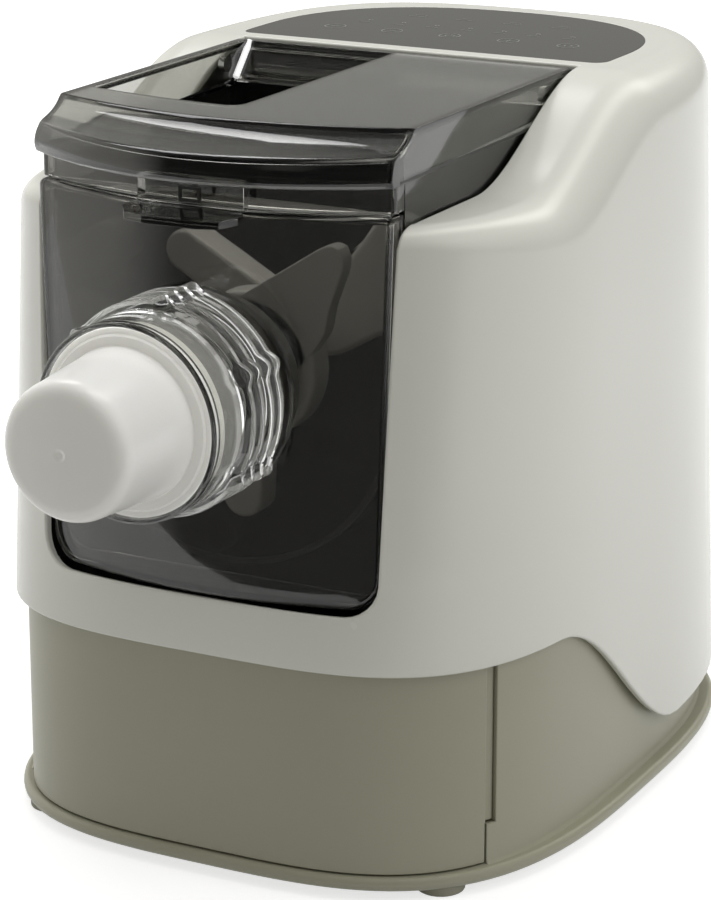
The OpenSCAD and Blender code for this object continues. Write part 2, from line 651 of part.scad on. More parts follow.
nut_lip_y = -tube_front + slip + die_t + slip;
nut_lip_t = 1.6;
ribs = 4;
rib_pitch = 6;
module clamp_nut() color("#d6d8d6") translate([0, 0, axis_z]) rotate([90, 0, 0]) difference() {
    union() {
        rotate_extrude($fn = 96) polygon(concat([[tube_r - 2, nut_back]],
            [for (k = [0:ribs - 1], p = [[0, 0.4], [1, 2], [1, 3.6], [0, 5.2]])
                [nut_r + 0.4 + p[0] * (rib_r - nut_r - 0.4), nut_back + k * rib_pitch + p[1]]],
            [[nut_r, nut_back + ribs * rib_pitch], [nut_r, nut_front - 1], [nut_r - 1, nut_front],
            [cap_flange_r + slip, nut_front], [cap_flange_r + slip, nut_lip_y + nut_lip_t],
            [tube_r - 2, nut_lip_y + nut_lip_t]]));
        for (i = [0:lobes - 1]) rotate([0, 0, 25 + 360 * i / lobes])
            translate([lobe_r - 6, 0, nut_back]) cylinder(r = 6, h = ribs * rib_pitch - 1, $fn = 32);
    }
    translate([0, 0, nut_back - over]) cylinder(r = tube_r + slip, h = nut_lip_y - nut_back + over, $fn = 96);
}
cap_flange_t = 2.6;
cap_flange_y = nut_lip_y + nut_lip_t + seat;
cap_root_y = cap_flange_y + cap_flange_t;
module outlet_cap() color("#eceae4") translate([0, 0, axis_z]) rotate([90, 0, 0]) rotate_extrude($fn = 96)
    polygon([[cap_root_r - cap_wall, cap_flange_y], [cap_flange_r, cap_flange_y], [cap_flange_r, cap_root_y],
        [cap_root_r + 3.6, cap_root_y], [cap_root_r + 3, cap_root_y + 1.2], [cap_root_r, cap_root_y + 1.2],
        [cap_end_r, cap_root_y + cap_len - 5], [cap_end_r - 1.5, cap_root_y + cap_len - 1.6],
        [cap_end_r - 5, cap_root_y + cap_len], [2.4, cap_root_y + cap_len], [1.8, cap_root_y + cap_len - 0.6],
        [0, cap_root_y + cap_len - 0.6], [0, cap_root_y + cap_len - cap_wall - 0.6],
        [cap_end_r - cap_wall - 3, cap_root_y + cap_len - cap_wall - 0.6],
        [cap_end_r - cap_wall, cap_root_y + cap_len - 6]]);

// ---- Drawer -----------------------------------------------------------------------------
tray_front_y = -104;
tray_half_w = base_half_w - tray_side_gap;
tray_back_y = tray_front_y + tray_depth;
front_low = floor_z + 0.6;
front_high = skirt_front - 0.6;
drawer_bosses = [[52, 26], [52, 54]];
module drawer_skin(e) {
    intersection() {
        translate([0, 0, front_low]) linear_extrude(front_high - front_low) base_outline(e);
        union() {
            block(-base_half_w, base_half_w, -base_front, drawer_seam_y - slip, front_low, seam_step_z + over);
            block(-base_half_w, base_half_w, -base_front, drawer_seam_y + seam_step - slip,
                seam_step_z + slip, front_high);
        }
    }
}
module drawer_front() color("#8f8b7c") difference() {
    union() {
        difference() {
            drawer_skin(0);
            translate([0, 0, -over]) linear_extrude(2 * front_high) base_outline(base_wall);
        }
        both_sides() for (p = drawer_bosses) intersection() {
            bar_y(p[0], p[1], 4, -base_front, tray_front_y - seat);
            drawer_skin(1);
        }
    }
    both_sides() for (p = drawer_bosses) bar_y(p[0], p[1], 1.4, tray_front_y - 12, tray_front_y + over);
}
module drawer_tray() color("#cfcdc5") difference() {
    block(-tray_half_w, tray_half_w, tray_front_y, tray_back_y, tray_floor_z, tray_floor_z + tray_h);
    block(-tray_half_w + tray_wall, tray_half_w - tray_wall, tray_front_y + tray_wall, tray_back_y - tray_wall,
        tray_floor_z + tray_wall, tray_floor_z + tray_h + over);
    both_sides() for (p = drawer_bosses) bar_y(p[0], p[1], 1.7, tray_front_y - over, tray_front_y + tray_wall + over);
}
module drawer_screws() color("#c8c8c8") both_sides() for (p = drawer_bosses)
    translate([p[0], tray_front_y + tray_wall, p[1]]) rotate([-90, 0, 0]) screw(1.3, 9, 2.8, 1.8);

// ---- Boards and inlet -------------------------------------------------------------------
board_x = -base_half_w + 20;
board_posts = [[board_x + 4, 46], [board_x + 42, 46], [board_x + 14, 88], [board_x + 42, 88]];
board_low_z = deck_top + 5;
module power_board() color("#4c7a46") difference() {
    union() {
        block(board_x, board_x + 48, 40, 92, board_low_z, board_low_z + board_t);
        block(board_x + 6, board_x + 30, 52, 74, board_low_z + board_t, board_low_z + 24);
        bar_z(board_x + 39, 58, 6, board_low_z + board_t, board_low_z + 20);
        bar_z(board_x + 39, 72, 6, board_low_z + board_t, board_low_z + 20);
        block(board_x + 20, board_x + 34, 79, 90, board_low_z + board_t, board_low_z + 16);
    }
    for (p = board_posts) bar_z(p[0], p[1], 1.4, board_low_z - over, board_low_z + board_t + over);
}
gland_bore = 3.6;
gland_lip = 3.4;
gland_len = 15;
module cord_gland() color("#2f2f2e") {
    y0 = back_at(gland_z - gland_r - gland_lip) + seat;
    difference() {
        union() {
            bar_y(0, gland_z, gland_r, y0 - gland_len + 2.6, y0 + 1);
            bar_y(0, gland_z, gland_r + gland_lip, y0, y0 + 2.4);
        }
        bar_y(0, gland_z, gland_bore, y0 - gland_len, y0 + 3);
    }
}

// ---- Gearbox, motor and drive -----------------------------------------------------------
press_angle = 25;
lash = 0.24;
flank = 4;
bearing_r = 11;
bearing_w = 6;
out_pitch = out_module * out_teeth / 2;
pinion_pitch = out_module * pinion_teeth / 2;
wheel_pitch = mot_module * wheel_teeth / 2;
motor_pitch = mot_module * motor_teeth / 2;
drop = axis_z - motor_z;
reach_a = out_pitch + pinion_pitch;
reach_b = wheel_pitch + motor_pitch;
idler_down = (reach_a * reach_a - reach_b * reach_b + drop * drop) / (2 * drop);
idler_x = sqrt(reach_a * reach_a - idler_down * idler_down);
idler_z = axis_z - idler_down;
aim_a = atan2(-idler_down, idler_x);
aim_b = atan2(motor_z - idler_z, -idler_x);
stage_a_y = case_y + case_wall + bearing_w;
stage_a_w = 9;
stage_b_y = stage_a_y + stage_a_w + 3;
stage_b_w = 7;
idler_r = 4;

function inv(a) = tan(a) * 180 / PI - a;
function half_tooth(r, pitch_r, base_r, teeth) = 90 / teeth - lash / 2 / pitch_r * 180 / PI + inv(press_angle)
    - inv(acos(min(1, base_r / r)));
function polar(r, a) = [r * cos(a), r * sin(a)];
// Outline of an involute gear with a tooth at angle zero
function gear_points(m, teeth) = let (pitch_r = m * teeth / 2, base_r = pitch_r * cos(press_angle),
    tip = pitch_r + m, root = pitch_r - 1.25 * m, low = max(base_r, root))
    [for (k = [0:teeth - 1]) let (a = 360 * k / teeth) each concat(
        [polar(root, a - half_tooth(low, pitch_r, base_r, teeth) - 20 / teeth)],
        [for (j = [0:flank]) let (r = low + (tip - low) * j / flank)
            polar(r, a - half_tooth(r, pitch_r, base_r, teeth))],
        [for (j = [flank:-1:0]) let (r = low + (tip - low) * j / flank)
            polar(r, a + half_tooth(r, pitch_r, base_r, teeth))],
        [polar(root, a + half_tooth(low, pitch_r, base_r, teeth) + 20 / teeth)])];
module gear(x, z, m, teeth, turn, y0, y1) {
    translate([x, 0, z]) along_y(y0, y1) rotate(turn) polygon(gear_points(m, teeth));
}
module drive_outline(e) hull() {
    translate([0, axis_z]) circle(r = out_pitch + out_module + 2 + case_wall - e, $fn = 72);
    translate([idler_x, idler_z]) circle(r = wheel_pitch + mot_module + 2 + case_wall - e, $fn = 72);
    translate([0, motor_z]) circle(r = 16 - e, $fn = 48);
}
lug_spots = [[-40, axis_z + 27.5], [40, axis_z + 27.5], [-33, axis_z - 43.5], [59, idler_z - 23.5]];
lug_r = 5;
module lugs(y0, y1) for (p = lug_spots) bar_y(p[0], p[1], lug_r, y0, y1);
module lug_holes(y0, y1) for (p = lug_spots) bar_y(p[0], p[1], screw_hole, y0, y1);
module gearbox_case() color("#c9c9c4") difference() {
    union() {
        difference() {
            along_y(case_y, cover_y) drive_outline(0);
            along_y(case_y + case_wall, cover_y + over) drive_outline(case_wall);
        }
        difference() {
            lugs(case_y, cover_y);
            along_y(case_y + case_wall, cover_y + over) drive_outline(case_wall);
        }
        bar_y(0, axis_z, bearing_r + 2.4, bulk_y, case_y + case_wall + bearing_w - 1.5);
        bar_y(idler_x, idler_z, idler_r + 3, case_y, case_y + case_wall + 4);
    }
    bar_y(0, axis_z, bearing_r + press, case_y + case_wall - 1, stage_a_y + over);
    bar_y(0, axis_z, shaft_r + 1, bulk_y - over, case_y + 2 * case_wall);
    bar_y(idler_x, idler_z, idler_r + run_fit, case_y + 1.4, case_y + case_wall + 5);
    lug_holes(cover_y - 16, cover_y + over);
}
module gearbox_cover() color("#bdbdb8") difference() {
    union() {
        along_y(cover_y + press, cover_y + cover_t) drive_outline(0);
        lugs(cover_y + press, cover_y + cover_t);
        bar_y(0, axis_z, bearing_r + 2.4, cover_y + press, cover_y + 8);
        bar_y(idler_x, idler_z, idler_r + 3, stage_b_y + stage_b_w + slip, cover_y + cover_t);
    }
    bar_y(0, axis_z, bearing_r + press, cover_y - over, cover_y + bearing_w);
    bar_y(idler_x, idler_z, idler_r + run_fit, cover_y - 5, cover_y + 1.6);
    bar_y(0, motor_z, 8, cover_y - over, cover_y + cover_t + over);
    lug_holes(cover_y - over, cover_y + cover_t + over);
}
module gearbox_screws() color("#c8c8c8") for (p = lug_spots)
    translate([p[0], cover_y + cover_t, p[1]]) rotate([-90, 0, 0]) screw(screw_r, 14, 3.4, 2.4);
module ring_y(x, z, r0, r1, y0, y1) difference() {
    bar_y(x, z, r1, y0, y1);
    bar_y(x, z, r0, y0 - over, y1 + over);
}
module shaft_bearings() color("#b0b4b8") {
    ring_y(0, axis_z, shaft_r + run_fit, bearing_r, case_y + case_wall - 1, stage_a_y - 1);
    ring_y(0, axis_z, shaft_r + run_fit, bearing_r, cover_y - 0.5, cover_y + bearing_w - 0.5);
}
can_t = 1.6;
motor_shaft_r = 3;
motor_back = motor_y + motor_len;
module motor_can() color("#8f9296") difference() {
    union() {
        bar_y(0, motor_z, motor_r, motor_y, motor_back, 72);
        bar_y(0, motor_z, 7.6, cover_y + 0.4, motor_y + over);
        bar_y(0, motor_z, 8, motor_back - over, motor_back + 2.4);
    }
    bar_y(0, motor_z, motor_r - can_t, motor_y + can_t, motor_back - can_t, 72);
    bar_y(0, motor_z, motor_shaft_r + run_fit, cover_y, motor_back + 4);
}
rotor_r = 15;
stack_y0 = motor_y + 14;
stack_y1 = motor_back - 14;
module motor_stator() color("#7c5a38") ring_y(0, motor_z, rotor_r + 0.6, motor_r - can_t - press, stack_y0, stack_y1);
module motor_cradle() color("#55564f") difference() {
    block(-22, 22, stack_y0, stack_y1, deck_top, motor_z - 10);
    bar_y(0, motor_z, motor_r + seat, stack_y0 - over, stack_y1 + over, 72);
    block(-30, 30, stack_y0 - over, stack_y1 + over, motor_z - motor_r * 0.72, motor_z);
}
drive_front = -14;
module output_shaft() color("#c2c5c8") bar_y(0, axis_z, shaft_r, drive_front, cover_y + bearing_w - 0.6);
module output_gear() color("#e2ddd0") difference() {
    union() {
        gear(0, axis_z, out_module, out_teeth, aim_a, stage_a_y, stage_a_y + stage_a_w);
        bar_y(0, axis_z, shaft_r + 5, stage_a_y - 0.6, cover_y - 1);
    }
    bar_y(0, axis_z, shaft_r + press, stage_a_y - 2, cover_y + over);
    for (a = [0:60:300]) translate([0, 0, axis_z]) rotate([0, a, 0]) translate([0, 0, -axis_z])
        bar_y(out_pitch * 0.6, axis_z, 6.5, stage_a_y - over, stage_a_y + stage_a_w + over);
}
module idler_shaft() color("#c2c5c8") bar_y(idler_x, idler_z, idler_r, case_y + 1.6, cover_y + 1.4);
module idler_gears() color("#d8d2c2") difference() {
    union() {
        gear(idler_x, idler_z, out_module, pinion_teeth, aim_a + 180 + 180 / pinion_teeth,
            stage_a_y - 0.4, stage_b_y + over / 2);
        gear(idler_x, idler_z, mot_module, wheel_teeth, aim_b, stage_b_y, stage_b_y + stage_b_w);
    }
    bar_y(idler_x, idler_z, idler_r + press, stage_a_y - over, stage_b_y + stage_b_w + over);
}
module motor_shaft() color("#c2c5c8") {
    bar_y(0, motor_z, motor_shaft_r, stage_b_y - 1, motor_back + 11);
    bar_y(0, motor_z, rotor_r, stack_y0, stack_y1);
}
module motor_pinion() color("#b5a070") difference() {
    gear(0, motor_z, mot_module, motor_teeth, aim_b + 180 + 180 / motor_teeth, stage_b_y - 0.6,
        stage_b_y + stage_b_w + 0.6);
    bar_y(0, motor_z, motor_shaft_r + press, stage_b_y - 2, cover_y);
}
fan_r = 24;
fan_w = 6;
module cooling_fan() color("#3c3c3a") difference() {
    union() {
        bar_y(0, motor_z, 7, motor_back + 3.4, motor_back + 3.4 + fan_w);
        for (i = [0:fan_blades - 1]) translate([0, 0, motor_z]) rotate([0, 360 * i / fan_blades, 0])
            translate([5.5, motor_back + 3.6, 0]) rotate([0, 0, 0]) multmatrix([[1, 0, 0, 0], [0, 1, 0.9, 0], [0, 0, 1, 0], [0, 0, 0, 1]])
                cube([fan_r - 5.5, 1.6, 4]);
    }
    bar_y(0, motor_z, motor_shaft_r + press, motor_back, motor_back + 20);
}

// ---- Paddle and auger -------------------------------------------------------------------
hub_r = 9;
paddle_front = -106;
arm_w = 15;
arm_root = 3;
module arm(turn, y0, y1, len, w) translate([0, 0, axis_z]) rotate([0, turn, 0]) translate([0, 0, -axis_z])
    along_y(y0, y1) {
        translate([-w / 2, axis_z - arm_root]) square([w, len - w / 2 + arm_root]);
        translate([0, axis_z + len - w / 2]) circle(r = w / 2, $fn = 32);
    }
module mixing_paddle() color("#d6d4cc") difference() {
    union() {
        bar_y(0, axis_z, hub_r, paddle_front, tub_back - tub_wall - 1);
        arm(-28, -98, -86, paddle_r, arm_w);
        arm(34, -97, -85, paddle_r, arm_w);
        arm(64, -70, -30, paddle_r, 7);
        arm(184, -96, -84, paddle_r, arm_w);
        arm(244, -50, -16, paddle_r, 7);
    }
    bar_y(0, axis_z, shaft_r + press, drive_front - 0.4, tub_back);
}
auger_front = tube_front + 1.2;
auger_root = 8;
auger_turns = 2.5;
module extrusion_auger() color("#dedcd4") {
    bar_y(0, axis_z, auger_root, auger_front, paddle_front - press);
    translate([0, paddle_front - 4, axis_z]) rotate([90, 0, 0])
        linear_extrude(height = paddle_front - 4 - auger_front - 0.4, twist = 360 * auger_turns, slices = 60)
            difference() {
                polygon(concat([for (a = [-26:6.5:26]) polar(tube_r - tube_wall - 0.7, a)],
                    [polar(auger_root - 2, 60), polar(auger_root - 2, -60)]));
                circle(r = auger_root - 4, $fn = 24);
            }
}

base_tray();
feet();
drawer_rails();
chassis_deck();
deck_screws();
housing_shell();
bay_liner();
rear_bulkhead();
mixing_tub();
shaft_seal();
touch_panel();
control_board();
board_screws();
power_board();
cord_gland();
gearbox_case();
gearbox_cover();
gearbox_screws();
shaft_bearings();
motor_can();
motor_stator();
motor_cradle();
lid_pins();
reed_sensor();
lid();
lid_magnet();
front_panel();
panel_grip();
panel_catch();
panel_gasket();
extrusion_tube();
shaping_disc();
clamp_nut();
outlet_cap();
drawer_front();
drawer_tray();
drawer_screws();
output_shaft();
output_gear();
mixing_paddle();
extrusion_auger();
idler_shaft();
idler_gears();
motor_shaft();
motor_pinion();
cooling_fan();
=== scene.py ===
import json
import math

import bmesh
import bpy
from mathutils import Matrix, Vector


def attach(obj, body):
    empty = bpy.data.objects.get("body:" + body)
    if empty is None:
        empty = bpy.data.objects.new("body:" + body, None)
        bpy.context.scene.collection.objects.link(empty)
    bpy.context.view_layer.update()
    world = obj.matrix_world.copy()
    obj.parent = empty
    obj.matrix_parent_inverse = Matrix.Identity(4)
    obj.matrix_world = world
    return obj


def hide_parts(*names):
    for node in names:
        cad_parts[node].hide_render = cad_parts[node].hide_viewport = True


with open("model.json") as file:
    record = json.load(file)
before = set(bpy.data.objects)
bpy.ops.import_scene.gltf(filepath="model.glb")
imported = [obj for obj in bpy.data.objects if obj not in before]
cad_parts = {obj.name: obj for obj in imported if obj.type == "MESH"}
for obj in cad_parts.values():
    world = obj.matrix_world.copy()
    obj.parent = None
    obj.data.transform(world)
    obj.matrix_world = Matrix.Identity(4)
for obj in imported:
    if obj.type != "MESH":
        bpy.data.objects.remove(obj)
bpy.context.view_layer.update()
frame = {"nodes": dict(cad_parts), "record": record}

print("frame loaded")

# Camera, in front of the machine to its right and a little above it
camera = {"place": (0.52114, -1.02124, 0.46585), "aim": (-0.4410, 0.8490, -0.2910), "lens": 129.68,
          "sensor": 36.0}


def facing(place, direction):
    return Matrix.Translation(place) @ Vector(direction).to_track_quat("-Z", "Y").to_matrix().to_4x4()


cameraData = bpy.data.cameras.new("camera")
cameraData.lens = camera["lens"]
cameraData.sensor_width = camera["sensor"]
cameraObject = bpy.data.objects.new("camera", cameraData)
cameraObject.matrix_world = facing(camera["place"], camera["aim"])
bpy.context.scene.collection.objects.link(cameraObject)
bpy.context.scene.camera = cameraObject


# Shape helpers; every piece is drawn in millimetres and scaled when it is finished
def mixed(a, b, t):
    return a + (b - a) * t


def ease(t):
    t = min(1, max(0, t))
    return t * t * (3 - 2 * t)


def quarterTurns(steps):
    return [math.pi / 2 * k / steps for k in range(steps + 1)]


def partOf(value):
    # a plan's front half has negative directions and a negative Y
    return "front" if value < 0 else "back"


def planPoint(plan, phi, inset=0):
    # a point of a superellipse in the direction phi
    part = partOf(phi)
    power = plan[part + "Power"]
    c, s = math.cos(phi), math.sin(phi)
    reach = (abs(c) ** power + abs(s) ** power) ** (-1 / power)
    return (plan["half"] - inset) * reach * c, (plan[part] - inset) * reach * s


def otherShare(share, power):
    return (1 - share ** power) ** (1 / power)


def phiAtY(plan, y, inset=0):
    # the direction in which a plan reaches a depth, on its right side
    part = partOf(y)
    share = abs(y) / (plan[part] - inset)
    return math.copysign(math.atan2(share, otherShare(share, plan[part + "Power"])), y)


def bowAt(part, x):
    return part["bowY"] - math.sqrt(part["bowRadius"] ** 2 - x * x)


def joinChain(bm, verts, closed):
    pairs = list(zip(verts, verts[1:])) + ([(verts[-1], verts[0])] if closed else [])
    return [bm.edges.get(p) or bm.edges.new(p) for p in pairs]


def pullRow(bm, verts, points, closed=False):
    # pulls a new row out of a row of points, keeps their order and gives it its place
    fresh = {g for g in bmesh.ops.extrude_edge_only(bm, edges=joinChain(bm, verts, closed))["geom"]
             if isinstance(g, bmesh.types.BMVert)}
    verts = [next(e.other_vert(v) for e in v.link_edges if e.other_vert(v) in fresh) for v in verts]
    for vert, point in zip(verts, points):
        vert.co = point
    return verts


def sweepRows(bm, rows, closed=False):
    table = [[bm.verts.new(p) for p in rows[0]]]
    joinChain(bm, table[0], closed)
    for row in rows[1:]:
        table.append(pullRow(bm, table[-1], row, closed))
    return table


def pullOut(bm, points, move):
    # a flat outline pulled into a closed form; returns the edges of its far end
    face = bm.faces.new([bm.verts.new(p) for p in points])
    lifted = bmesh.ops.extrude_face_region(bm, geom=[face])["geom"]
    bmesh.ops.translate(bm, verts=[g for g in lifted if isinstance(g, bmesh.types.BMVert)], vec=move)
    return [g for g in lifted if isinstance(g, bmesh.types.BMEdge)]


def addBlock(bm, low, high):
    for vert in bmesh.ops.create_cube(bm, size=1)["verts"]:
        vert.co = [mixed(a, b, c + 0.5) for a, b, c in zip(low, high, vert.co)]


def bevelEdges(bm, edges, offset, segments, clamp=True):
    bmesh.ops.bevel(bm, geom=edges, offset=offset, offset_type="OFFSET", segments=segments, profile=0.5,
                    affect="EDGES", clamp_overlap=clamp, material=-1)


def faceOut(bm):
    bmesh.ops.recalc_face_normals(bm, faces=bm.faces)


def mirrorX(bm):
    bmesh.ops.mirror(bm, geom=bm.verts[:] + bm.edges[:] + bm.faces[:], matrix=Matrix.Identity(4),
                     merge_dist=0.01, axis="X")


def faceAway(bm, centre):
    # turns the faces of an open skin away from a point inside it
    faceOut(bm)
    spread = sum(f.normal.dot(f.calc_center_median() - Vector(centre)) * f.calc_area() for f in bm.faces)
    if spread < 0:
        bmesh.ops.reverse_faces(bm, faces=bm.faces)


def rimLoops(bm):
    bm.edges.index_update()
    seen, loops = set(), []
    for edge in bm.edges:
        if edge.is_boundary and edge.index not in seen:
            seen.add(edge.index)
            loop, here = [edge.verts[0]], edge.verts[1]
            while here is not loop[0]:
                loop.append(here)
                step = next(e for e in here.link_edges if e.is_boundary and e.index not in seen)
                seen.add(step.index)
                here = step.other_vert(here)
            loops.append(loop)
    return loops


def rimSide(vert, other):
    # the direction across a rim's edge, out of the skin
    edge = next(e for e in vert.link_edges if e.other_vert(vert) is other)
    loop = edge.link_loops[0]
    along = (loop.link_loop_next.vert.co - loop.vert.co).normalized()
    return along.cross(loop.face.normal)


def thicken(bm, wall, radius, steps=4):
    # gives an open skin its wall, and rounds the outer edge of every rim
    bm.normal_update()
    loops = rimLoops(bm)
    back = min(0.4, radius)
    plans = []
    for loop in loops:
        plan = []
        for i, vert in enumerate(loop):
            a, b = rimSide(vert, loop[i - 1]), rimSide(vert, loop[(i + 1) % len(loop)])
            out = (a + b).normalized()
            plan.append((vert.co.copy(), vert.normal.copy(), out / max(0.5, out.dot(a))))
        plans.append(plan)
    moves = {v: v.normal * wall * min(1.6, v.calc_shell_factor()) for v in bm.verts}
    pair = bmesh.ops.duplicate(bm, geom=bm.verts[:] + bm.edges[:] + bm.faces[:])["vert_map"]
    inner = {pair[v] for v in moves}
    for vert, move in moves.items():
        pair[vert].co = vert.co - move
    bmesh.ops.reverse_faces(bm, faces=[f for f in bm.faces if f.verts[0] in inner])
    for loop, plan in zip(loops, plans):
        verts = loop
        for turn in quarterTurns(steps)[1:]:
            rise, fall = radius * math.sin(turn), radius * (1 - math.cos(turn))
            verts = pullRow(bm, verts, [p + out * rise - n * fall for p, n, out in plan], True)
        verts = pullRow(bm, verts, [p + out * radius - n * (wall - back) for p, n, out in plan], True)
        for vert, (p, n, out) in zip(loop, plan):
            pair[vert].co = p + out * (radius - back) - n * wall
        bmesh.ops.weld_verts(bm, targetmap={v: pair[start] for v, start in zip(verts, loop)})


def spun(bm, points, centre, axis, steps, closed):
    # a row of points turned once round an axis
    verts = [bm.verts.new(p) for p in points]
    bmesh.ops.spin(bm, geom=verts + joinChain(bm, verts, closed), cent=centre, axis=axis,
                   angle=2 * math.pi, steps=steps, use_merge=True)


def turned(bm, profile, steps, closed=True):
    # a profile of (distance to the front, radius) turned about the outlet's axis
    spun(bm, [(0, -y, axisZ + r) for y, r in profile], (0, 0, axisZ), (0, 1, 0), steps, closed)
    bmesh.ops.remove_doubles(bm, verts=bm.verts, dist=0.001)
    faceOut(bm)


def roundedProfile(points, steps=4):
    # (along, radius, corner) points with each corner rounded by its own radius
    out = []
    for i, (y, r, corner) in enumerate(points):
        here = Vector((y, r))
        if not corner:
            out.append((y, r))
            continue
        a = Vector(points[i - 1][:2]) - here
        b = Vector(points[(i + 1) % len(points)][:2]) - here
        reach = min(corner / math.tan(a.angle(b) / 2), a.length * 0.49, b.length * 0.49)
        p, q = here + a.normalized() * reach, here + b.normalized() * reach
        for k in range(steps + 1):
            t = k / steps
            out.append(tuple(p * (1 - t) ** 2 + here * 2 * t * (1 - t) + q * t ** 2))
    return out


def addTo(bm, other):
    # puts a second closed form into a piece
    temp = bpy.data.meshes.new("other")
    other.to_mesh(temp)
    other.free()
    bm.from_mesh(temp)
    bpy.data.meshes.remove(temp)


def finished(name, bm, body, slot, node, material=None, sharp=38):
    bmesh.ops.scale(bm, vec=(0.001, 0.001, 0.001), verts=bm.verts)
    mesh = bpy.data.meshes.new(name)
    bm.to_mesh(mesh)
    bm.free()
    mesh.materials.append(material or finishes[slot])
    mesh.shade_smooth()
    mesh.set_sharp_from_angle(angle=math.radians(sharp))
    piece = bpy.data.objects.new(name, mesh)
    bpy.context.scene.collection.objects.link(piece)
    piece.modifiers.new("weighted", "WEIGHTED_NORMAL").keep_sharp = True
    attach(piece, body)
    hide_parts(node)


# Finishes
noise = {"wave": 16, "marks": 55, "cast": 40, "bumpNear": 0.0002, "bumpFar": 0.002}


def newGroup(name, inputs, outputs):
    # a node group whose inputs take their kind from their first value
    group = bpy.data.node_groups.new(name, "ShaderNodeTree")
    for label, value in inputs.items():
        kind = {3: "Vector", 4: "Color"}[len(value)] if isinstance(value, tuple) else "Float"
        socket = group.interface.new_socket(name=label, in_out="INPUT", socket_type="NodeSocket" + kind)
        socket.default_value = value
    for label in outputs:
        kind = {"Color": "Color", "Normal": "Vector"}.get(label, "Float")
        group.interface.new_socket(name=label, in_out="OUTPUT", socket_type="NodeSocket" + kind)
    return group, group.nodes.new("NodeGroupInput").outputs, group.nodes.new("NodeGroupOutput").inputs


def addNode(tree, kind, inputs=None, **settings):
    node = tree.nodes.new("ShaderNode" + kind)
    for label, value in settings.items():
        setattr(node, label, value)
    for label, value in (inputs or {}).items():
        if isinstance(value, bpy.types.NodeSocket):
            tree.links.new(value, node.inputs[label])
        else:
            node.inputs[label].default_value = value
    return node


def maths(tree, operation, *values):
    return addNode(tree, "Math", dict(enumerate(values)), operation=operation).outputs[0]


def ramp(tree, value, low, high, start=0, end=1, kind="SMOOTHSTEP"):
    return addNode(tree, "MapRange", {"Value": value, "From Min": low, "From Max": high, "To Min": start,
                                      "To Max": end}, interpolation_type=kind).outputs["Result"]


def spread(tree, source, low, high):
    # a noise value carried to a range
    return ramp(tree, source, 0.2, 0.8, low, high)


def colours(tree, factor, first, second):
    return addNode(tree, "Mix", {"Factor": factor, 6: first, 7: second}, data_type="RGBA").outputs[2]


def clouds(tree, place, scale, detail, **inputs):
    inputs.update({"Vector": place, "Scale": scale, "Detail": detail})
    return addNode(tree, "TexNoise", inputs).outputs["Fac"]


def bumps(tree, height, depth, distance, **inputs):
    return addNode(tree, "Bump", {"Strength": depth, "Distance": distance, "Height": height,
                                  **inputs}).outputs["Normal"]


def unevenGloss(tree, source, given):
    return maths(tree, "MULTIPLY_ADD", spread(tree, source, -0.5, 0.5), given["Roughness Spread"],
                 given["Roughness"])


def putOut(tree, result, **sockets):
    for label, socket in sockets.items():
        tree.links.new(socket, result[label])
    return tree


def buildMoulded():
    # moulded plastic: fine grain, faint mottle and uneven gloss
    tree, given, result = newGroup("mouldedSurface", {
        "Color": (0.5, 0.5, 0.5, 1), "Shade": (0.4, 0.4, 0.4, 1), "Mottle": 0.3, "Mottle Scale": 9,
        "Grain Scale": 1600, "Grain Depth": 0.1, "Wave Depth": 0.02, "Roughness": 0.4,
        "Roughness Spread": 0.06}, ("Color", "Roughness", "Normal"))
    place = addNode(tree, "TexCoord").outputs["Object"]
    cloud = clouds(tree, place, given["Mottle Scale"], 4)
    grain = clouds(tree, place, given["Grain Scale"], 2)
    wave = clouds(tree, place, noise["wave"], 1)
    amount = maths(tree, "MULTIPLY", spread(tree, cloud, 0, 1), given["Mottle"])
    slow = bumps(tree, wave, given["Wave Depth"], noise["bumpFar"])
    return putOut(tree, result, Color=colours(tree, amount, given["Color"], given["Shade"]),
                  Roughness=unevenGloss(tree, cloud, given),
                  Normal=bumps(tree, grain, given["Grain Depth"], noise["bumpNear"], Normal=slow))


def buildClear():
    # polished clear moulding: slow waves in the wall, light handling marks
    tree, given, result = newGroup("clearSurface", {
        "Wave Scale": 30, "Wave Depth": 0.05, "Roughness": 0.02, "Smudge": 0.03}, ("Roughness", "Normal"))
    place = addNode(tree, "TexCoord").outputs["Object"]
    wave = clouds(tree, place, given["Wave Scale"], 1.5)
    marks = clouds(tree, place, noise["marks"], 5, Roughness=0.62)
    return putOut(tree, result, Normal=bumps(tree, wave, given["Wave Depth"], noise["bumpFar"]),
                  Roughness=maths(tree, "MULTIPLY_ADD", spread(tree, marks, 0, 1), given["Smudge"],
                                  given["Roughness"]))


def buildWorked():
    # worked metal: fine lines along one direction, cast or rolled unevenness
    tree, given, result = newGroup("workedMetal", {
        "Color": (0.6, 0.6, 0.6, 1), "Shade": (0.4, 0.4, 0.4, 1), "Stretch": (1, 1, 1), "Line Scale": 700,
        "Line Depth": 0.15, "Roughness": 0.35, "Roughness Spread": 0.15}, ("Color", "Roughness", "Normal"))
    place = addNode(tree, "TexCoord").outputs["Object"]
    scaled = addNode(tree, "VectorMath", {0: place, 1: given["Stretch"]}, operation="MULTIPLY").outputs[0]
    lines = clouds(tree, scaled, given["Line Scale"], 3)
    cloud = spread(tree, clouds(tree, place, noise["cast"], 4), 0, 1)
    return putOut(tree, result, Color=colours(tree, cloud, given["Color"], given["Shade"]),
                  Roughness=unevenGloss(tree, lines, given),
                  Normal=bumps(tree, lines, given["Line Depth"], noise["bumpNear"]))


mouldedSurface, clearSurface, workedMetal = buildMoulded(), buildClear(), buildWorked()


def rgba(colour):
    return (*colour, 1)


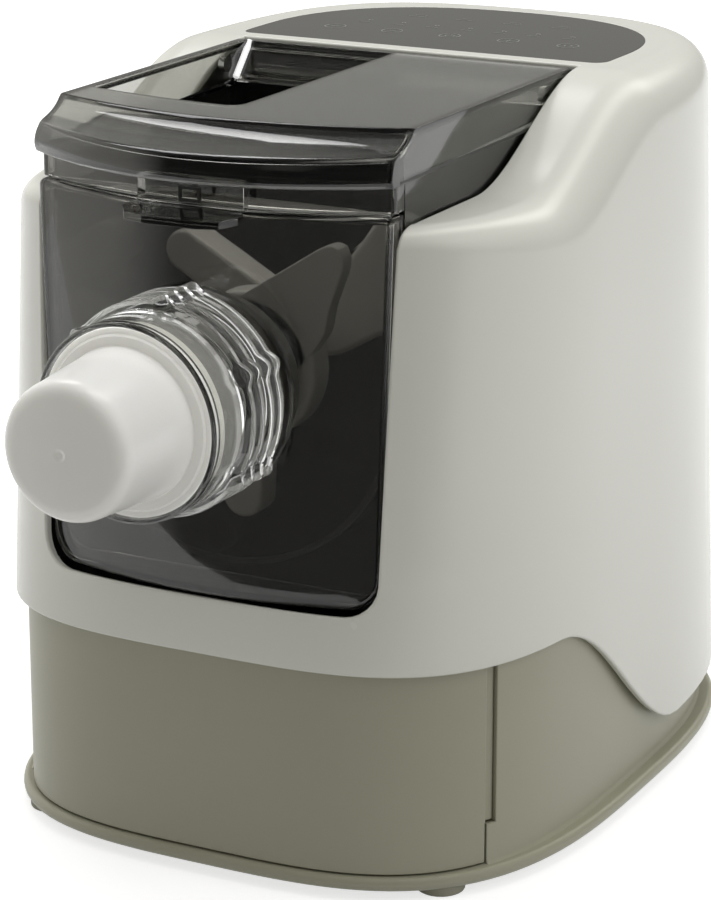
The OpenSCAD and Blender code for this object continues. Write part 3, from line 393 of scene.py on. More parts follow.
def surfaceMaterial(name, group, values, shader):
    # a group's colour, gloss and relief on a plain Principled shader
    material = bpy.data.materials.new(name)
    material.use_nodes = True
    tree = material.node_tree
    principled = tree.nodes["Principled BSDF"]
    holder = tree.nodes.new("ShaderNodeGroup")
    holder.node_tree = group
    for label, value in values.items():
        holder.inputs[label].default_value = value
    for label in holder.outputs.keys():
        target = principled.inputs["Base Color" if label == "Color" else label]
        tree.links.new(holder.outputs[label], target)
    for label, value in shader.items():
        principled.inputs[label].default_value = value
    return material


def moulded(name, colour, shade, roughness, grain=0.1, mottle=0.3, wave=0.02, scale=1600, **shader):
    return surfaceMaterial(name, mouldedSurface, {
        "Color": rgba(colour), "Shade": rgba(shade), "Mottle": mottle, "Grain Scale": scale,
        "Grain Depth": grain, "Wave Depth": wave, "Roughness": roughness}, shader)


def metal(name, colour, shade, roughness, stretch=(1, 1, 1), scale=700, depth=0.15):
    return surfaceMaterial(name, workedMetal, {
        "Color": rgba(colour), "Shade": rgba(shade), "Stretch": stretch, "Line Scale": scale,
        "Line Depth": depth, "Roughness": roughness}, {"Metallic": 1.0})


def paintedShadeColour(tree, colour, deep, low, high, roof):
    # painted shade: a darker colour below a height and in front of a depth, where the clear part looks dark;
    # another colour for a roof above another height
    step = 0.0004
    parts = addNode(tree, "SeparateXYZ", {"Vector": addNode(tree, "TexCoord").outputs["Object"]}).outputs
    under = ramp(tree, parts["Z"], low, low + step, 1, 0, "LINEAR")
    ahead = ramp(tree, parts["Y"], high, high + step, 1, 0, "LINEAR")
    shadedColour = colours(tree, maths(tree, "MULTIPLY", under, ahead), rgba(colour), rgba(deep))
    if roof:
        above = ramp(tree, parts["Z"], roof[1], roof[1] + step, kind="LINEAR")
        shadedColour = colours(tree, above, shadedColour, rgba(roof[0]))
    return shadedColour


def clear(name, colour, wave=0.03, roughness=0.015, shadow=0.5, waveScale=30, deep=None, roof=None):
    # clear plastic that also lets the lamps' light through
    material = surfaceMaterial(name, clearSurface, {
        "Wave Depth": wave, "Wave Scale": waveScale, "Roughness": roughness, "Smudge": 0.03},
        {"Base Color": rgba(colour), "Transmission Weight": 1.0, "IOR": 1.5})
    tree = material.node_tree
    principled = tree.nodes["Principled BSDF"]
    if deep:
        tree.links.new(paintedShadeColour(tree, colour, *deep, roof), principled.inputs["Base Color"])
    shadowRay = addNode(tree, "LightPath").outputs["Is Shadow Ray"]
    through = addNode(tree, "BsdfTransparent", {"Color": (shadow, shadow, shadow * 0.97, 1)})
    mixer = addNode(tree, "MixShader", {0: shadowRay, 1: principled.outputs[0], 2: through.outputs[0]})
    tree.links.new(mixer.outputs[0], tree.nodes["Material Output"].inputs["Surface"])
    return material


finishes = {
    "white_housing": moulded("whiteHousing", (0.80, 0.80, 0.75), (0.77, 0.77, 0.72), 0.25, grain=0.04,
                             mottle=0.5),
    "stone_base": moulded("stoneBase", (0.415, 0.408, 0.315), (0.375, 0.365, 0.275), 0.40, grain=0.16,
                          mottle=0.6),
    "stone_drawer": moulded("stoneDrawer", (0.395, 0.385, 0.295), (0.365, 0.355, 0.27), 0.40, grain=0.16,
                            mottle=0.6),
    # deep is painted shade: the lid turns darker below 254.7 mm and in front of -114 mm, on its lip and visor
    "smoked_lid": clear("smokedLid", (0.50, 0.50, 0.47), roughness=0.03, shadow=0.4,
                        deep=((0.10, 0.10, 0.095), 0.2547, -0.114), roof=((0.36, 0.36, 0.34), 0.2594)),
    "smoked_panel": clear("smokedPanel", (0.35, 0.345, 0.325), shadow=0.66),
    "dark_tub": clear("darkTub", (0.16, 0.16, 0.155), wave=0.05, roughness=0.05, shadow=0.2),
    # deep is painted shade: the grip shelf's lower part, below 234.5 mm and in front of -134.5 mm, turns
    # darker
    "grip_plastic": clear("gripPlastic", (0.45, 0.45, 0.43), deep=((0.08, 0.08, 0.075), 0.2345, -0.1345)),
    "black_plastic": moulded("blackPlastic", (0.022, 0.022, 0.021), (0.03, 0.03, 0.029), 0.42, grain=0.25),
    "dark_liner": moulded("darkLiner", (0.02, 0.02, 0.019), (0.028, 0.028, 0.026), 0.4,
                          grain=0.04, scale=700),
    "touch_glass": moulded("touchGlass", (0.012, 0.012, 0.011), (0.016, 0.016, 0.015), 0.035, grain=0.0,
                           wave=0.004),
    "clear_nut": clear("clearNut", (0.93, 0.935, 0.92), wave=0.1, shadow=0.8, waveScale=60),
    # the cap's emission is painted light: a faint glow that brightens the whole cap
    "milky_cap": moulded("milkyCap", (0.92, 0.91, 0.885), (0.89, 0.88, 0.85), 0.24, grain=0.02, mottle=0.5,
                         **{"Subsurface Weight": 0.45, "Subsurface Scale": 0.005,
                            "Subsurface Radius": (1.0, 0.96, 0.85), "Emission Color": (1, 0.99, 0.96, 1),
                            "Emission Strength": 0.055}),
    "die_plastic": moulded("diePlastic", (0.78, 0.77, 0.72), (0.72, 0.71, 0.66), 0.4),
    "paddle_plastic": moulded("paddlePlastic", (0.80, 0.785, 0.74), (0.72, 0.705, 0.66), 0.36),
    "gear_plastic": moulded("gearPlastic", (0.74, 0.70, 0.60), (0.66, 0.62, 0.52), 0.42),
    "tray_plastic": moulded("trayPlastic", (0.68, 0.67, 0.62), (0.62, 0.61, 0.56), 0.45, grain=0.2),
    "deck_sheet": metal("deckSheet", (0.62, 0.62, 0.60), (0.50, 0.51, 0.51), 0.38, (1, 0.05, 1), depth=0.1),
    "case_alloy": metal("caseAlloy", (0.60, 0.60, 0.59), (0.52, 0.52, 0.52), 0.5, depth=0.4),
    "bright_steel": metal("brightSteel", (0.70, 0.71, 0.72), (0.62, 0.63, 0.64), 0.2, (1, 0.03, 1)),
    "screw_steel": metal("screwSteel", (0.66, 0.66, 0.66), (0.55, 0.55, 0.55), 0.3, (0.1, 1, 1)),
    "motor_steel": metal("motorSteel", (0.50, 0.51, 0.52), (0.42, 0.43, 0.44), 0.35, (1, 0.03, 1)),
    "winding_copper": metal("windingCopper", (0.60, 0.34, 0.18), (0.48, 0.25, 0.12), 0.3, (1, 0.02, 1),
                            900, 0.5),
    "pinion_brass": metal("pinionBrass", (0.72, 0.58, 0.32), (0.64, 0.50, 0.27), 0.25),
    "seal_rubber": moulded("sealRubber", (0.30, 0.07, 0.045), (0.25, 0.055, 0.035), 0.6),
    "gasket_rubber": moulded("gasketRubber", (0.03, 0.03, 0.029), (0.04, 0.04, 0.038), 0.6),
    "foot_rubber": moulded("footRubber", (0.36, 0.35, 0.28), (0.31, 0.30, 0.24), 0.7, grain=0.3),
    "board_green": moulded("boardGreen", (0.03, 0.15, 0.06), (0.025, 0.12, 0.05), 0.35),
    "magnet_metal": metal("magnetMetal", (0.62, 0.62, 0.60), (0.55, 0.55, 0.53), 0.18),
}
# painted highlight: a pale finish that glows, for the light caught by a polished corner
paintedGlint = moulded("paintedGlintEdge", (0.93, 0.93, 0.92), (0.90, 0.90, 0.89), 0.2, grain=0.02,
                  **{"Emission Color": (1, 1, 1, 1), "Emission Strength": 0.6})
tubeGrey = moulded("tubeGrey", (0.30, 0.295, 0.28), (0.25, 0.245, 0.23), 0.25, grain=0.05)
inkPale = moulded("inkPale", (0.25, 0.25, 0.24), (0.22, 0.22, 0.21), 0.5)
blackSteel = metal("blackSteel", (0.05, 0.05, 0.05), (0.04, 0.04, 0.04), 0.35)
nodeSlots = {row["node"]: row["material_slot"] for row in frame["record"]["subparts"]}
for nodeName, nodeObject in frame["nodes"].items():
    nodeObject.material_slots[0].material = finishes[nodeSlots[nodeName]]
frame["nodes"]["lid_pins"].material_slots[0].material = blackSteel
print("finishes ready")

# Housing: half, front and back are its plan at the height of skirtFront, and lean inwards above it
housing = {"half": 107, "front": 134.5, "back": 143, "halfDraft": 0.035, "frontDraft": 0.0385,
           "backDraft": 0.028, "frontPower": 3.5, "backPower": 3, "skirtFront": 81.5, "skirtBack": 22,
           "waveStart": -66, "waveEnd": 32.5, "cheekTop": 232, "top": 262.5, "riseStart": -62,
           "riseEnd": 22.5, "sideCrown": 18, "backCrown": 11, "frontCrown": 6, "crownLow": 226,
           "crownMiddle": 229, "crownBehind": 255, "bayLow": 101.7, "bayHalfLow": 64.2, "bayHalfTop": 67.6,
           "bayCorner": 11, "bayBack": 23, "bayBackSteps": (45, 22, 0), "wall": 2.6, "rim": 0.9}
axisZ = 173.5


def planAt(z):
    rise = z - housing["skirtFront"]
    sides = {side: housing[side] - rise * housing[side + "Draft"] for side in ("half", "front", "back")}
    return {**housing, **sides}


def skinPoint(phi, z, inset=0):
    return (*planPoint(planAt(z), phi, inset), z)


def waveAt(y, low, high, start, end):
    return mixed(housing[low], housing[high], ease((y - housing[start]) / (housing[end] - housing[start])))


def topAt(y):
    return waveAt(y, "cheekTop", "top", "riseStart", "riseEnd")


def bayHalf(z):
    rise = (z - housing["bayLow"]) / (housing["cheekTop"] - housing["bayLow"])
    return mixed(housing["bayHalfLow"], housing["bayHalfTop"], min(1, rise))


def crownAt(phi):
    # radius of the rounding round the top
    part = partOf(phi)
    c, s = abs(math.cos(phi)), abs(math.sin(phi))
    power = housing[part + "Power"]
    lean = (s ** power / (c ** power + s ** power)) ** 0.5
    return mixed(housing["sideCrown"], housing[part + "Crown"], ease(lean))


def crownPoint(phi, turn):
    # turn 0 is the foot of the rounding, 1 its top
    r = crownAt(phi)
    inset = r * (1 - math.cos(math.pi / 2 * turn))
    y = skinPoint(phi, housing["cheekTop"], inset)[1]
    return skinPoint(phi, topAt(y) - r * (1 - math.sin(math.pi / 2 * turn)), inset)


def phiAtX(x, z, inset=0):
    plan = planAt(z)
    share = x / (plan["half"] - inset)
    return -math.atan2(otherShare(share, plan["frontPower"]), share)


def buildHousing():
    bm = bmesh.new()
    rim, top, cheekTop = housing["rim"], housing["top"], housing["cheekTop"]
    lowZ, corner, bayBack = housing["bayLow"] - rim, housing["bayCorner"] + rim, housing["bayBack"] + rim
    centreCount, sideCount, backCount = 12, 34, 26
    bayPhiBack = phiAtY(planAt(cheekTop), bayBack)

    def edgeX(z):
        return bayHalf(z) + rim

    def columns(first, last):
        # directions along the bay's side, then round to the middle of the back
        return ([mixed(first, last, k / sideCount) for k in range(sideCount + 1)]
                + [mixed(last, math.pi / 2, (k + 1) / backCount) for k in range(backCount)])

    startPhi = phiAtX(edgeX(lowZ) - corner, lowZ)
    phis = [mixed(-math.pi / 2, startPhi, k / centreCount) for k in range(centreCount)]
    phis += columns(startPhi, bayPhiBack)
    depths = [skinPoint(phi, housing["skirtFront"])[1] for phi in phis]
    skirt = [waveAt(y, "skirtFront", "skirtBack", "waveStart", "waveEnd") + rim for y in depths]
    rows = [[skinPoint(phi, mixed(z, lowZ, j / 6)) for phi, z in zip(phis, skirt)] for j in range(7)]
    verts = sweepRows(bm, rows)[-1][centreCount:]
    for turn in quarterTurns(6)[1:]:
        z = lowZ + corner * (1 - math.cos(turn))
        phi0 = phiAtX(edgeX(z) - corner * (1 - math.sin(turn)), z)
        verts = pullRow(bm, verts, [skinPoint(phi, z) for phi in columns(phi0, bayPhiBack)])
    cheekZ = lowZ + corner
    for j in range(1, 12):
        phi0 = phiAtX(edgeX(cheekTop), mixed(cheekZ, housing["crownLow"], j / 11))
        row = []
        for phi in columns(phi0, bayPhiBack):
            z = mixed(cheekZ, crownPoint(phi, 0)[2], j / 11)
            row.append(skinPoint(phi if row else phiAtX(edgeX(z), z), z))
        verts = pullRow(bm, verts, row)
    for j in range(1, 10):
        shrink = 1 - math.cos(math.pi / 2 * (j / 9))
        phi0 = phiAtX(edgeX(cheekTop), housing["crownMiddle"],
                      crownAt(phiAtX(edgeX(cheekTop), cheekTop)) * shrink)
        phiBack = phiAtY(planAt(housing["crownBehind"]), bayBack, crownAt(bayPhiBack) * shrink)
        verts = pullRow(bm, verts, [crownPoint(phi, j / 9) for phi in columns(phi0, phiBack)])
    # the top runs level from the crown to the bay's edge, the rest of it is one face round the touch cover
    rungs = [verts[:sideCount + 1]]
    for share in (0.5, 1):
        rungs.append(pullRow(bm, rungs[-1], [(mixed(v.co.x, edgeX(cheekTop), share), v.co.y, topAt(v.co.y))
                                             for v in rungs[0]]))
    backEdge = [bm.verts.new((x, bayBack, top)) for x in housing["bayBackSteps"]]
    hole = [bm.verts.new((x, y, top)) for x, y in touchHalfOutline(touch["gap"])]
    for vert in verts[sideCount:]:
        vert.co.z = top
    bm.faces.new([rungs[2][-1]] + backEdge + hole + verts[:sideCount - 1:-1] + [rungs[1][-1]])
    mirrorX(bm)
    bmesh.ops.remove_doubles(bm, verts=bm.verts, dist=0.01)
    faceAway(bm, (0, 0, 150))
    thicken(bm, housing["wall"], rim)
    return bm


# Touch cover; its keys, dots and bars are generic marks
touch = {"half": 74, "front": 30, "depth": 90, "straight": 20, "power": 2.35, "corner": 6, "gap": 0.35,
         "thick": 1.5, "edge": 0.5, "ink": 0.05, "line": 0.5, "stroke": 0.6, "long": 3.6, "short": 1.8,
         "keys": (-48, -24, 0, 24, 48), "keyY": 58, "keyRing": 4.2, "dots": (-42, -28, -14, 0, 14, 28, 42),
         "dotY": 76, "dotBarY": 71.5, "bars": (-30, -10, 10, 30), "barY": (92, 95), "barLong": (8, 5)}


def touchHalfOutline(grow):
    # right half of the touch cover's outline, from front to back
    half, r = touch["half"] + grow, touch["corner"]
    front, middle = touch["front"] - grow, touch["front"] + touch["straight"]
    depth = touch["depth"] - touch["straight"] + grow
    points = [(half * k / 6, front) for k in range(5)]
    points += [(half - r + r * math.sin(a), front + r - r * math.cos(a)) for a in quarterTurns(6)]
    power = 2 / touch["power"]
    points += [(half * math.cos(a) ** power, middle + depth * math.sin(a) ** power)
               for a in quarterTurns(30)[:-1]]
    return points + [(0, middle + depth)]


finished("housingShell", buildHousing(), "housing", "white_housing", "housing_shell")
print("housing built")


def buildTouch():
    bm = bmesh.new()
    half = touchHalfOutline(0)
    low = housing["top"] - touch["thick"] - touch["ink"]
    outline = [(x, y, low) for x, y in half + [(-x, y) for x, y in half[-2:0:-1]]]
    top = pullOut(bm, outline, (0, 0, touch["thick"]))
    faceOut(bm)
    bevelEdges(bm, top, touch["edge"], 3, clamp=False)
    return bm


def buildMarks():
    # printed rings, bars and dots of the touch keys
    bm = bmesh.new()
    top = housing["top"]
    low = top - touch["ink"] * 0.6
    line, stroke, keys, keyY = touch["line"], touch["stroke"], touch["keys"], touch["keyY"]

    def ring(x, y, r, width, start=0, span=360):
        count = max(8, int(span / 9))
        turns = [math.radians(start + span * k / count) for k in range(count + (span < 360))]
        outer, inner = [[(x + s * math.cos(t), y + s * math.sin(t)) for t in turns] for s in (r, r - width)]
        other = bmesh.new()
        sweepRows(other, [[(*p, z) for p in side] for side, z in (
            (outer, low), (outer, top), (inner, top), (inner, low), (outer, low))], span == 360)
        bmesh.ops.remove_doubles(other, verts=other.verts, dist=0.001)
        if span < 360:
            bmesh.ops.holes_fill(other, edges=[e for e in other.edges if e.is_boundary])
        faceOut(other)
        addTo(bm, other)

    def bar(x, y, width, height):
        addBlock(bm, (x - width / 2, y - height / 2, low), (x + width / 2, y + height / 2, top))

    for x in keys:
        ring(x, keyY, touch["keyRing"], line)
    for k in (1, 0, 3):
        bar(keys[k], keyY, touch["long"], stroke)
    for rise in (1.3, -1.3):
        bar(keys[3], keyY + rise, stroke, touch["short"])
    ring(keys[2], keyY, 1.9, line, 125, 290)
    bar(keys[2], keyY + 1.7, stroke, touch["short"])
    ring(keys[4], keyY, 1.6, line)
    for x in touch["dots"]:
        ring(x, touch["dotY"], 1.0, stroke)
        bar(x, touch["dotBarY"], 5.0, line)
    for x in touch["bars"]:
        for y, length in zip(touch["barY"], touch["barLong"]):
            bar(x, y, length, line)
    return bm


finished("touchCover", buildTouch(), "housing", "touch_glass", "touch_panel")
finished("touchMarks", buildMarks(), "housing", "touch_glass", "touch_panel", inkPale)

# Base: the wall's plan, and the flange that it stands on
base = {"half": 104, "front": 131.5, "back": 140, "frontPower": 3.4, "backPower": 3, "top": 86, "wall": 3,
        "rim": 0.4, "fillet": [(1.6, -0.6), (0.5, 0.5), (0, 1.6)], "seam": -97, "seamStep": 3.5, "stepZ": 23,
        "seamGap": 0.45, "drawerLow": 9.0, "drawerTop": 80.9, "drawerRim": 0.5,
        "crease": [(-0.77, 0.05), (-0.525, 0.25), (-0.35, 0.6), (-0.245, 1.5), (0.4, 1.5)]}
flange = {"half": 110, "front": 134, "back": 146, "frontPower": 3.2, "backPower": 3, "low": 3.4, "top": 8.4,
          "edge": 2.3}
foot = {"radius": 8.5, "x": 78, "y": 105, "height": 5, "corner": 1.2}


def basePoint(phi, z, inset=0):
    return (*planPoint(base, phi, inset), z)


def buildBase():
    bm = bmesh.new()
    rim, footZ = base["rim"], flange["top"]
    ring = [planPoint(flange, 2 * math.pi * k / 160 - math.pi) for k in range(160)]
    pullOut(bm, [(x, y, flange["low"]) for x, y in ring], (0, 0, footZ - flange["low"]))
    faceOut(bm)
    level = [e for e in bm.edges if abs(e.verts[0].co.z - e.verts[1].co.z) < 0.01]
    bevelEdges(bm, level, flange["edge"], 4, clamp=False)
    wall = bmesh.new()
    low, high = [phiAtY(base, base["seam"] + step + rim) for step in (0, base["seamStep"])]
    phis = [low, high] + [mixed(high, math.pi / 2, (k + 1) / 54) for k in range(54)]
    levels = [(out, footZ + rise) for out, rise in base["fillet"]] + [(0, 16), (0, base["stepZ"] - rim)]
    verts = sweepRows(wall, [[basePoint(phi, z, -out) for phi in phis] for out, z in levels])[-1][1:]
    for z in (40, 60, base["top"]):
        verts = pullRow(wall, verts, [basePoint(phi, z) for phi in phis[1:]])
    mirrorX(wall)
    faceAway(wall, (0, 20, 45))
    thicken(wall, base["wall"], rim, 3)
    addTo(bm, wall)
    return bm


def buildDrawerFace():
    bm = bmesh.new()
    rim, gap, seam = base["drawerRim"], base["seamGap"], base["seam"]
    inner = phiAtY(base, seam - gap - rim - 0.1)
    core = [mixed(-math.pi / 2, inner, k / 30) for k in range(31)]
    heights = (base["drawerLow"] + rim, 15, base["stepZ"] + gap + rim, 34, 48, 64, base["drawerTop"] - rim)
    table = sweepRows(bm, [[basePoint(phi, z) for phi in core] for z in heights])
    # above the step of the seam the face runs on into a crease
    verts = [row[-1] for row in table[2:]]
    for step, inset in base["crease"] + [(base["seamStep"] - gap - rim, base["crease"][-1][1])]:
        phi = phiAtY(base, seam + step)
        verts = pullRow(bm, verts, [basePoint(phi, v.co.z, inset) for v in verts])
    mirrorX(bm)
    faceAway(bm, (0, 0, 45))
    thicken(bm, base["wall"], rim, 3)
    return bm


def buildFeet():
    bm = bmesh.new()
    radius, high = foot["radius"], foot["height"]
    profile = roundedProfile([(0, 0, 0), (0, radius, foot["corner"]), (high, radius, 0), (high, 0, 0)])
    for x in (-foot["x"], foot["x"]):
        for y in (-foot["y"], foot["y"]):
            spun(bm, [(x + r, y, z) for z, r in profile], (x, y, 0), (0, 0, 1), 48, False)
    bmesh.ops.remove_doubles(bm, verts=bm.verts, dist=0.001)
    faceOut(bm)
    return bm


finished("baseBody", buildBase(), "housing", "stone_base", "base_tray")
finished("drawerFace", buildDrawerFace(), "drawer", "stone_drawer", "drawer_front")
finished("footPads", buildFeet(), "housing", "foot_rubber", "feet")
print("base built")

# Lid; the visor's rows run from its crease to its lip: wider by, back from the front by, bow, below the top
lid = {"half": 66.9, "wall": 2.6, "rim": 0.6, "axisY": 16, "axisZ": 256, "roll": 6.5, "rearY": 12.5,
       "rollTurns": (-36, -24, -12, 0, 12, 24, 36, 48, 60, 75, 90), "top": 262.5, "low": 247.3, "front": 121,
       "sideEdge": 0.5, "pourLeft": -64.2, "pourRight": -1.5, "pourBack": 12, "pourMargin": 22, "pourBow": 9,
       "pourCorner": 6, "columns": (-58, -50, -41, -32, -23, -15, 5, 14, 23, 32, 41, 50, 58, 64),
       "visor": [(0, 2.5, 13.5, 0), (0, 1.6, 13.6, 0.25), (0, 0.2, 13.9, 1.15), (0, -1.3, 14.4, 2.2),
                 (0, -3.1, 15.1, 3.1), (0, -5.5, 16.2, 3.95), (0, -9, 18, 4.85), (0, -13.5, 20, 5.85),
                 (0, -18, 21.5, 6.75), (-0.2, -22, 23.5, 7.7), (0.2, -23.6, 23.2, 10.5), (0.4, -24, 22.8, 14),
                 (0.3, -23.2, 22.8, 16.6)]}
chute = {"half": 64.0, "right": 0.6, "high": (20.4, 261.2), "low": (8.8, 248.6), "wall": 1.6, "edge": 0.3}
glintRod = {"radius": 1.2, "shorter": 0.8, "lift": 0.9, "inset": 0.5, "edge": 0.35}


def smoothRows(rows, steps):
    # Catmull-Rom points between rows of numbers
    out = []
    for i in range(len(rows) - 1):
        a, b = rows[max(0, i - 1)], rows[i]
        c, d = rows[i + 1], rows[min(len(rows) - 1, i + 2)]
        for t in [k / steps for k in range(steps)]:
            out.append([0.5 * (2 * q + (r - p) * t + (2 * p - 5 * q + 4 * r - s) * t * t
                               + (3 * q - p - 3 * r + s) * t ** 3) for p, q, r, s in zip(a, b, c, d)])
    return out + [rows[-1]]


def buildLid():
    bm = bmesh.new()
    half, front, top, rear = lid["half"], -lid["front"], lid["top"], lid["pourBack"]
    left, right, r = lid["pourLeft"], lid["pourRight"], lid["pourCorner"]
    xs = sorted({-half, left, right - r, right, half, *lid["columns"]})

    def across(rows):
        # (half width, y, bow, z) rows drawn over all columns
        return [[(wide * x / half, y + bow * (x / half) ** 2, z) for x in xs] for wide, y, bow, z in rows]

    def pourFront(x):
        return front + lid["pourMargin"] + lid["pourBow"] * (x / half) ** 2

    roll = [(half, lid["rearY"], 0, lid["low"] + lid["rim"])]
    roll += [(half, lid["axisY"] + lid["roll"] * math.cos(a), 0, lid["axisZ"] + lid["roll"] * math.sin(a))
             for a in [math.radians(turn) for turn in lid["rollTurns"]]]
    visor = [(half + wider, front + back, bow, top - below) for wider, back, bow, below in lid["visor"]]
    grid = across(roll)
    grid += [[(x, mixed(rear, pourFront(x) + r, k / 8), top) for x in xs] for k in range(9)]
    grid += [[(x, pourFront(x), top) for x in xs]] + across(smoothRows(visor, 3))
    table = sweepRows(bm, grid)
    a, b, end = xs.index(left), xs.index(right), len(roll) + 9
    cut = []
    for low, high in zip(table[end - 12:end], table[end - 11:]):
        for i in range(a, b):
            around = {low[i], low[i + 1], high[i], high[i + 1]}
            cut += [f for f in low[i].link_faces if set(f.verts) == around]
    bmesh.ops.delete(bm, geom=cut, context="FACES")
    # the opening's front right corner keeps a rounded fillet
    x, y, z = table[end][b].co
    arc = [bm.verts.new((x - r * (1 - math.cos(t)), y + r * (1 - math.sin(t)), top))
           for t in quarterTurns(7)[1:-1]]
    bm.faces.new([table[end][b], table[end - 1][b]] + arc + [table[end][b - 1]])
    for side in (0, -1):
        bm.faces.new([row[side] for row in table])
    faceOut(bm)
    sides = [bm.edges.get((p[side], q[side])) for side in (0, -1) for p, q in zip(table[4:], table[5:])]
    bevelEdges(bm, sides, lid["sideEdge"], 4, clamp=False)
    faceAway(bm, (0, -50, 235))
    thicken(bm, lid["wall"], lid["rim"])
    return bm


def chuteEnds():
    return [Vector((0, *chute[end])) for end in ("high", "low")]


def buildChute():
    # the slanted wall behind the pour opening
    bm = bmesh.new()
    high, low = chuteEnds()
    slope = (high - low).normalized()
    left, right = Vector((chute["half"], 0, 0)), Vector((chute["right"], 0, 0))
    pullOut(bm, (high - left, high + right, low + right, low - left),
            Vector((0, slope.z, -slope.y)) * chute["wall"])
    faceOut(bm)
    bevelEdges(bm, bm.edges[:], chute["edge"], 2)
    return bm


def buildGlintRod():
    # a pale glowing rod in the corner where the slanted wall meets the lid's side: a painted highlight of
    # that rounded corner
    bm = bmesh.new()
    high, low = chuteEnds()
    along = high - low
    bmesh.ops.create_cone(bm, cap_ends=True, segments=24, radius1=glintRod["radius"], radius2=glintRod["radius"],
                          depth=along.length - glintRod["shorter"])
    caps = [e for e in bm.edges if len(e.link_faces) == 2 and any(len(f.verts) > 4 for f in e.link_faces)]
    bevelEdges(bm, caps, glintRod["edge"], 3)
    bmesh.ops.rotate(bm, cent=(0, 0, 0), matrix=along.to_track_quat("Z", "X").to_matrix(), verts=bm.verts)
    lift = Vector((0, -along.z, along.y)).normalized() * glintRod["lift"]
    side = Vector((chute["half"] - glintRod["inset"], 0, 0))
    bmesh.ops.translate(bm, verts=bm.verts, vec=(high + low) / 2 + lift - side)
    return bm


finished("lidShell", buildLid(), "lid", "smoked_lid", "lid", sharp=30)
finished("lidChute", buildChute(), "lid", "smoked_lid", "lid", finishes["smoked_panel"])
finished("lidGlintRod", buildGlintRod(), "lid", "smoked_lid", "lid", paintedGlint)
print("lid built")

# Mixing tub, the band that closes its front, and the lip between its sides and the lid
tub = {"half": 66.6, "floor": 65.67, "shoulder": 201.3, "low": 188, "middle": 224, "top": 247, "front": -112,
       "back": 19.5, "rows": (-80, -46, -13), "wall": 2.4, "rim": 0.5, "bandLow": 236.7, "bowRadius": 173.5,
       "bowY": 42, "corner": 3.0, "cornerDepth": 0.8, "overlap": 0.4}
seal = {"x": (66.62, 67.2), "y": (-117, 1), "z": (246.1, 247.2), "edge": 0.15}


def buildTub():
    bm = bmesh.new()
    rim, half, floor, shoulder = tub["rim"], tub["half"], tub["floor"], tub["shoulder"]
    section = [(-half, tub["top"] - rim), (-half, tub["middle"]), (-half, shoulder + 1),
               (-floor, shoulder - 1), (-floor, tub["low"])]
    section += [(-floor * math.cos(t), axisZ - floor * math.sin(t))
                for t in [math.pi * k / 48 for k in range(49)]]
    section += [(-x, z) for x, z in section[4::-1]]
    depths = (tub["front"] + rim, *tub["rows"], tub["back"])
    bm.faces.new(sweepRows(bm, [[(x, y, z) for x, z in section] for y in depths])[-1])
    faceAway(bm, (0, -40, 200))
    thicken(bm, tub["wall"], rim, 3)
    return bm


def buildTubRim():
    bm = bmesh.new()
    half, corner, deep = tub["half"], tub["corner"], tub["corner"] * tub["cornerDepth"]
    low, high, edge = tub["bandLow"] + tub["rim"], tub["top"] - tub["rim"], half - corner
    path = [(-half, tub["front"] - tub["overlap"])]
    path += [(-half + corner * (1 - math.cos(t)), bowAt(tub, edge) + deep * (1 - math.sin(t)))
             for t in quarterTurns(5)]
    path += [(x, bowAt(tub, x)) for x in [mixed(-edge, edge, k / 24) for k in range(1, 24)]]
    path += [(-x, y) for x, y in path[6::-1]]
    sweepRows(bm, [[(x, y, z) for x, y in path] for z in (low, mixed(low, high, 0.5), high)])
    faceAway(bm, (0, -100, 242))
    thicken(bm, tub["wall"], tub["rim"], 3)
    return bm


def buildSeal():
    bm = bmesh.new()
    for side in (-1, 1):
        other = bmesh.new()
        addBlock(other, *[(side * x, y, z) for x, y, z in zip(seal["x"], seal["y"], seal["z"])])
        bevelEdges(other, other.edges[:], seal["edge"], 2)
        faceOut(other)
        addTo(bm, other)
    return bm


finished("tubSeal", buildSeal(), "housing", "dark_tub", "mixing_tub", finishes["black_plastic"])
finished("tubShell", buildTub(), "housing", "dark_tub", "mixing_tub")
finished("tubRim", buildTubRim(), "housing", "dark_tub", "mixing_tub", finishes["smoked_panel"])
print("tub built")

# Front panel; the grip's shelf is a half plan of (x, distance in front of its back)
panel = {"halfLow": 63.4, "halfTop": 66.8, "low": 102.5, "wide": 232, "top": 236.4, "corner": 11,
         "topCorner": 2.6, "bowRadius": 176, "bowY": 42, "wall": 3, "edge": 2.2, "back": -113.8, "rim": 0.5,
         "boss": 35, "bossFront": 136, "bossBack": 127.2, "tube": 29.3, "lowColumns": (0, 12, 24, 36, 45),
         "topColumns": (64, 52, 39, 26, 13)}
grip = {"half": 20, "plateBack": -131.8, "plateFront": -133.8, "plateTop": 245, "plateLift": 0.2,
        "plateEdge": 0.4, "back": -134.0, "out": 14.5, "drop": 1.8, "thick": 2.6, "lift": 0.1, "edge": 0.9,
        "shelf": [(0, 14.5), (10, 14.5), (17.6, 12.7), (21.6, 7), (20, 0.6)]}


